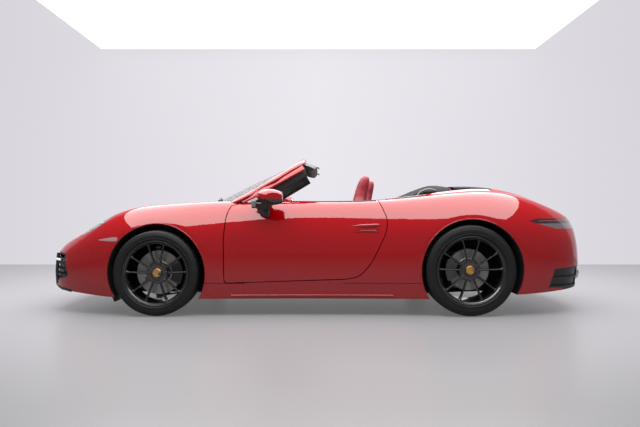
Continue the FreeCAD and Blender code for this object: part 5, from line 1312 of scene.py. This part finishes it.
def makeConsole():
    bm = bmesh.new()
    spot = castOn(consoleTree, (0.240, 0, 1.2), (0, 0, -1)) or Vector((0.24, 0, 0.45))
    roundedBox(bm, (0.205, -0.022, spot.z - 0.01), (0.270, 0.022, spot.z + 0.055), 0.012)
    patchOn(bm, consoleTree, (0.235, 0, 0.5), ((1, 0, 0), (0, 1, 0)), (0.110, 0.060), (0, 0, -1), 0.0015,
            0.3, 0.002)
    keepPiece(bm, "gearSelector", "glossBlack", "car")
    bm = bmesh.new()
    for y, low, high, half in ((0.235, 0.285, 0.395, 0.020), (0.315, 0.330, 0.385, 0.034),
                               (0.440, 0.250, 0.380, 0.030)):
        roundedBox(bm, (0.615, y - half, low), (0.627, y + half, high), 0.005)
        for k in range(4):
            z = low + (high - low) * (0.2 + 0.2 * k)
            roundedBox(bm, (0.611, y - half * 0.75, z - 0.004), (0.618, y + half * 0.75, z + 0.004), 0.002)
        if y < 0.4:
            arm = [(0.624, y, high - 0.02), (0.665, y, high + 0.08), (0.690, y, high + 0.150)]
            sweepRing(bm, curvePath(arm, 4), 0.008, 0.006, (0, 1, 0), 10)
        else:
            sweepRing(bm, [(0.624, y, 0.300), (0.700, y, 0.250), (0.752, y, 0.230)], 0.020, 0.010, (0, 1, 0),
                      10)
    keepPiece(bm, "pedals", "satinSilver", "car")
    bm = bmesh.new()
    for side in (1, -1):
        roundedBox(bm, (0.335, side * 0.320 - 0.150, 0.1655), (0.590, side * 0.320 + 0.150, 0.176), 0.004)
    keepPiece(bm, "floorMats", "carpet", "car")


def makeDoorLining(side):
    name = sideNames[side]
    tree = trimTrees[side]

    def inner(x, z, lift):
        hit = castOn(tree, (x, 0, z), (0, side, 0)) or Vector((x, side * 0.63, z))
        return hit + Vector((0, -side * lift, 0))

    body = "door_" + name
    pull = [inner(*spot) for spot in ((0.020, 0.700, -0.004), (0.010, 0.702, 0.020), (-0.020, 0.704, 0.030),
                                      (-0.110, 0.710, 0.032), (-0.200, 0.714, 0.030), (-0.230, 0.716, 0.020),
                                      (-0.240, 0.716, -0.004))]
    sweptPiece("doorPull_" + name, "blackHide", body, "door_lining", curvePath(pull, 5), 0.010, 0.013)
    bm = bmesh.new()
    for x, z, half, cells in ((0.420, 0.410, 0.080, 12), (0.470, 0.790, 0.028, 8)):
        patchOn(bm, tree, (x, side * 0.62, z), alongUp, (half, half), (0, side, 0), 0.003, 1.0, 0.004, cells)
    keepPiece(bm, "doorSpeakers_" + name, "blackPlastic", body)
    release = [inner(0.300, 0.748, 0.004), inner(0.255, 0.750, 0.014), inner(0.190, 0.752, 0.015)]
    sweptPiece("doorRelease_" + name, "satinSilver", body, "dash", curvePath(release, 5), 0.006, 0.010,
               (0, 0, 1), 10)


def makeBelts(side):
    name = sideNames[side]
    slide = seatSpec["slides"]["driver" if side > 0 else "passenger"]
    strap = alongSide(side, [(-0.600, 0.6120, 0.860), (-0.560, 0.6125, 0.750),
                             (-0.420 + slide, 0.6125, 0.480), (-0.300 + slide, 0.6120, 0.300),
                             (-0.280 + slide, 0.6120, 0.200)])
    sweptPiece("seatBelt_" + name, "beltWeb", "car", "dash", strap, 0.0010, 0.023, (1, 0, 0), 8)
    bm = bmesh.new()
    inside = side * (seatSpec["y"] - 0.228)
    roundedBox(bm, (-0.235 + slide, inside - 0.009, 0.300), (-0.190 + slide, inside + 0.009, 0.415), 0.006)
    keepPiece(bm, "beltBuckle_" + name, "blackPlastic", "car")


makeHeader()
makeWipers()
makeHeadlampInside()
makeLip()
makeWheelDress()
makeDash()
makeConsole()
makeTailLine()
for build in (makePillar, makeSideMirror, makeMirrorFoot, makeHandle, makeSill, makeArchLips, makeTopSide,
              makeBelt, makeNose, makeDoorLining, makeBelts):
    build(1)
    build(-1)
print("trim and cabin fittings made")

# Stage: pale floor up to a bright wall, and the wide white ceiling panel of the studio

stageSpec = {"floorHalf": 14, "wallPlace": -3.725, "wallTall": 8, "floorColour": (0.205, 0.20, 0.21),
             "floorGlow": 0.11, "floorShadedNear": (0.105, 0.102, 0.108), "floorFade": (0.2, 3.0),
             "wallLitMiddle": (0.80, 0.78, 0.83), "wallHigh": (0.68, 0.66, 0.71),
             "roomColour": (0.27, 0.265, 0.28), "panelFar": -3.6, "panelNear": 3.45, "panelHalf": 3.36,
             "panelHeight": 3.34, "panelRadiance": 4.4}


def stagePiece(name, colour, glow, rough, place):
    bm = bmesh.new()
    bmesh.ops.create_grid(bm, x_segments=1, y_segments=1, size=1)
    bm.transform(place)
    piece = linkPiece(bm, name)
    material, tree, shader = newMaterial(name, {"Base Color": (*colour, 1), "Roughness": rough,
                                                "Emission Strength": glow, "Emission Color": (1, 1, 1, 1)})
    piece.data.materials.append(material)
    return tree, shader


def makeStage():
    half, wallPlace, tall = stageSpec["floorHalf"], stageSpec["wallPlace"], stageSpec["wallTall"] / 2
    place = Matrix.Translation((0, wallPlace + half, 0)) @ Matrix.Scale(half, 4)
    tree, shader = stagePiece("studioFloor", stageSpec["floorColour"], stageSpec["floorGlow"], 0.34, place)
    # painted shade: the floor's colour darkens from y 0.2 to y 3.0, towards the camera, as the panel's light
    # falls off
    near = addNode(tree, "ShaderNodeMapRange", {"Value": partOf(tree, objectPlace(tree), "Y")})
    near.inputs["From Min"].default_value, near.inputs["From Max"].default_value = stageSpec["floorFade"]
    colour = mixColours(tree, near.outputs["Result"], stageSpec["floorColour"], stageSpec["floorShadedNear"])
    tree.links.new(colour, shader.inputs["Base Color"])

    place = (Matrix.Translation((0, wallPlace, tall)) @ Matrix.Rotation(math.pi / 2, 4, "X")
             @ Matrix.Diagonal((half, tall, 1, 1)))
    tree, shader = stagePiece("studioWall", (0, 0, 0), 1.0, 1.0, place)
    # painted light: the wall glows brightest at its middle and dimmer towards its sides, a painted pool of
    # light
    away = mathNode(tree, "MULTIPLY", mathNode(tree, "ABSOLUTE", partOf(tree, objectPlace(tree), "X")), 0.2)
    colour = mixColours(tree, mathNode(tree, "MINIMUM", away, 1.0), stageSpec["wallLitMiddle"],
                        stageSpec["wallHigh"])
    tree.links.new(colour, shader.inputs["Emission Color"])

    middle = (stageSpec["panelNear"] + stageSpec["panelFar"]) / 2
    deep = stageSpec["panelNear"] - stageSpec["panelFar"]
    place = (Matrix.Translation((0, middle, stageSpec["panelHeight"] + 0.01))
             @ Matrix.Diagonal((stageSpec["panelHalf"], deep / 2, 1, 1)))
    stagePiece("ceilingCover", (0, 0, 0), 1.3, 1.0, place)

    world = bpy.data.worlds.new("studioWorld")
    world.use_nodes = True
    tree = world.node_tree
    rays = addNode(tree, "ShaderNodeLightPath")
    colour = mixColours(tree, rays.outputs["Is Camera Ray"], stageSpec["roomColour"], stageSpec["wallHigh"])
    tree.links.new(colour, tree.nodes["Background"].inputs["Color"])
    scene.world = world

    panel = bpy.data.lights.new("ceilingPanel", "AREA")
    panel.shape = "RECTANGLE"
    panel.size, panel.size_y = 2 * stageSpec["panelHalf"], deep
    panel.energy = stageSpec["panelRadiance"] * math.pi * panel.size * panel.size_y
    lamp = bpy.data.objects.new("ceilingPanel", panel)
    lamp.location = (0, middle, stageSpec["panelHeight"])
    scene.collection.objects.link(lamp)


makeStage()
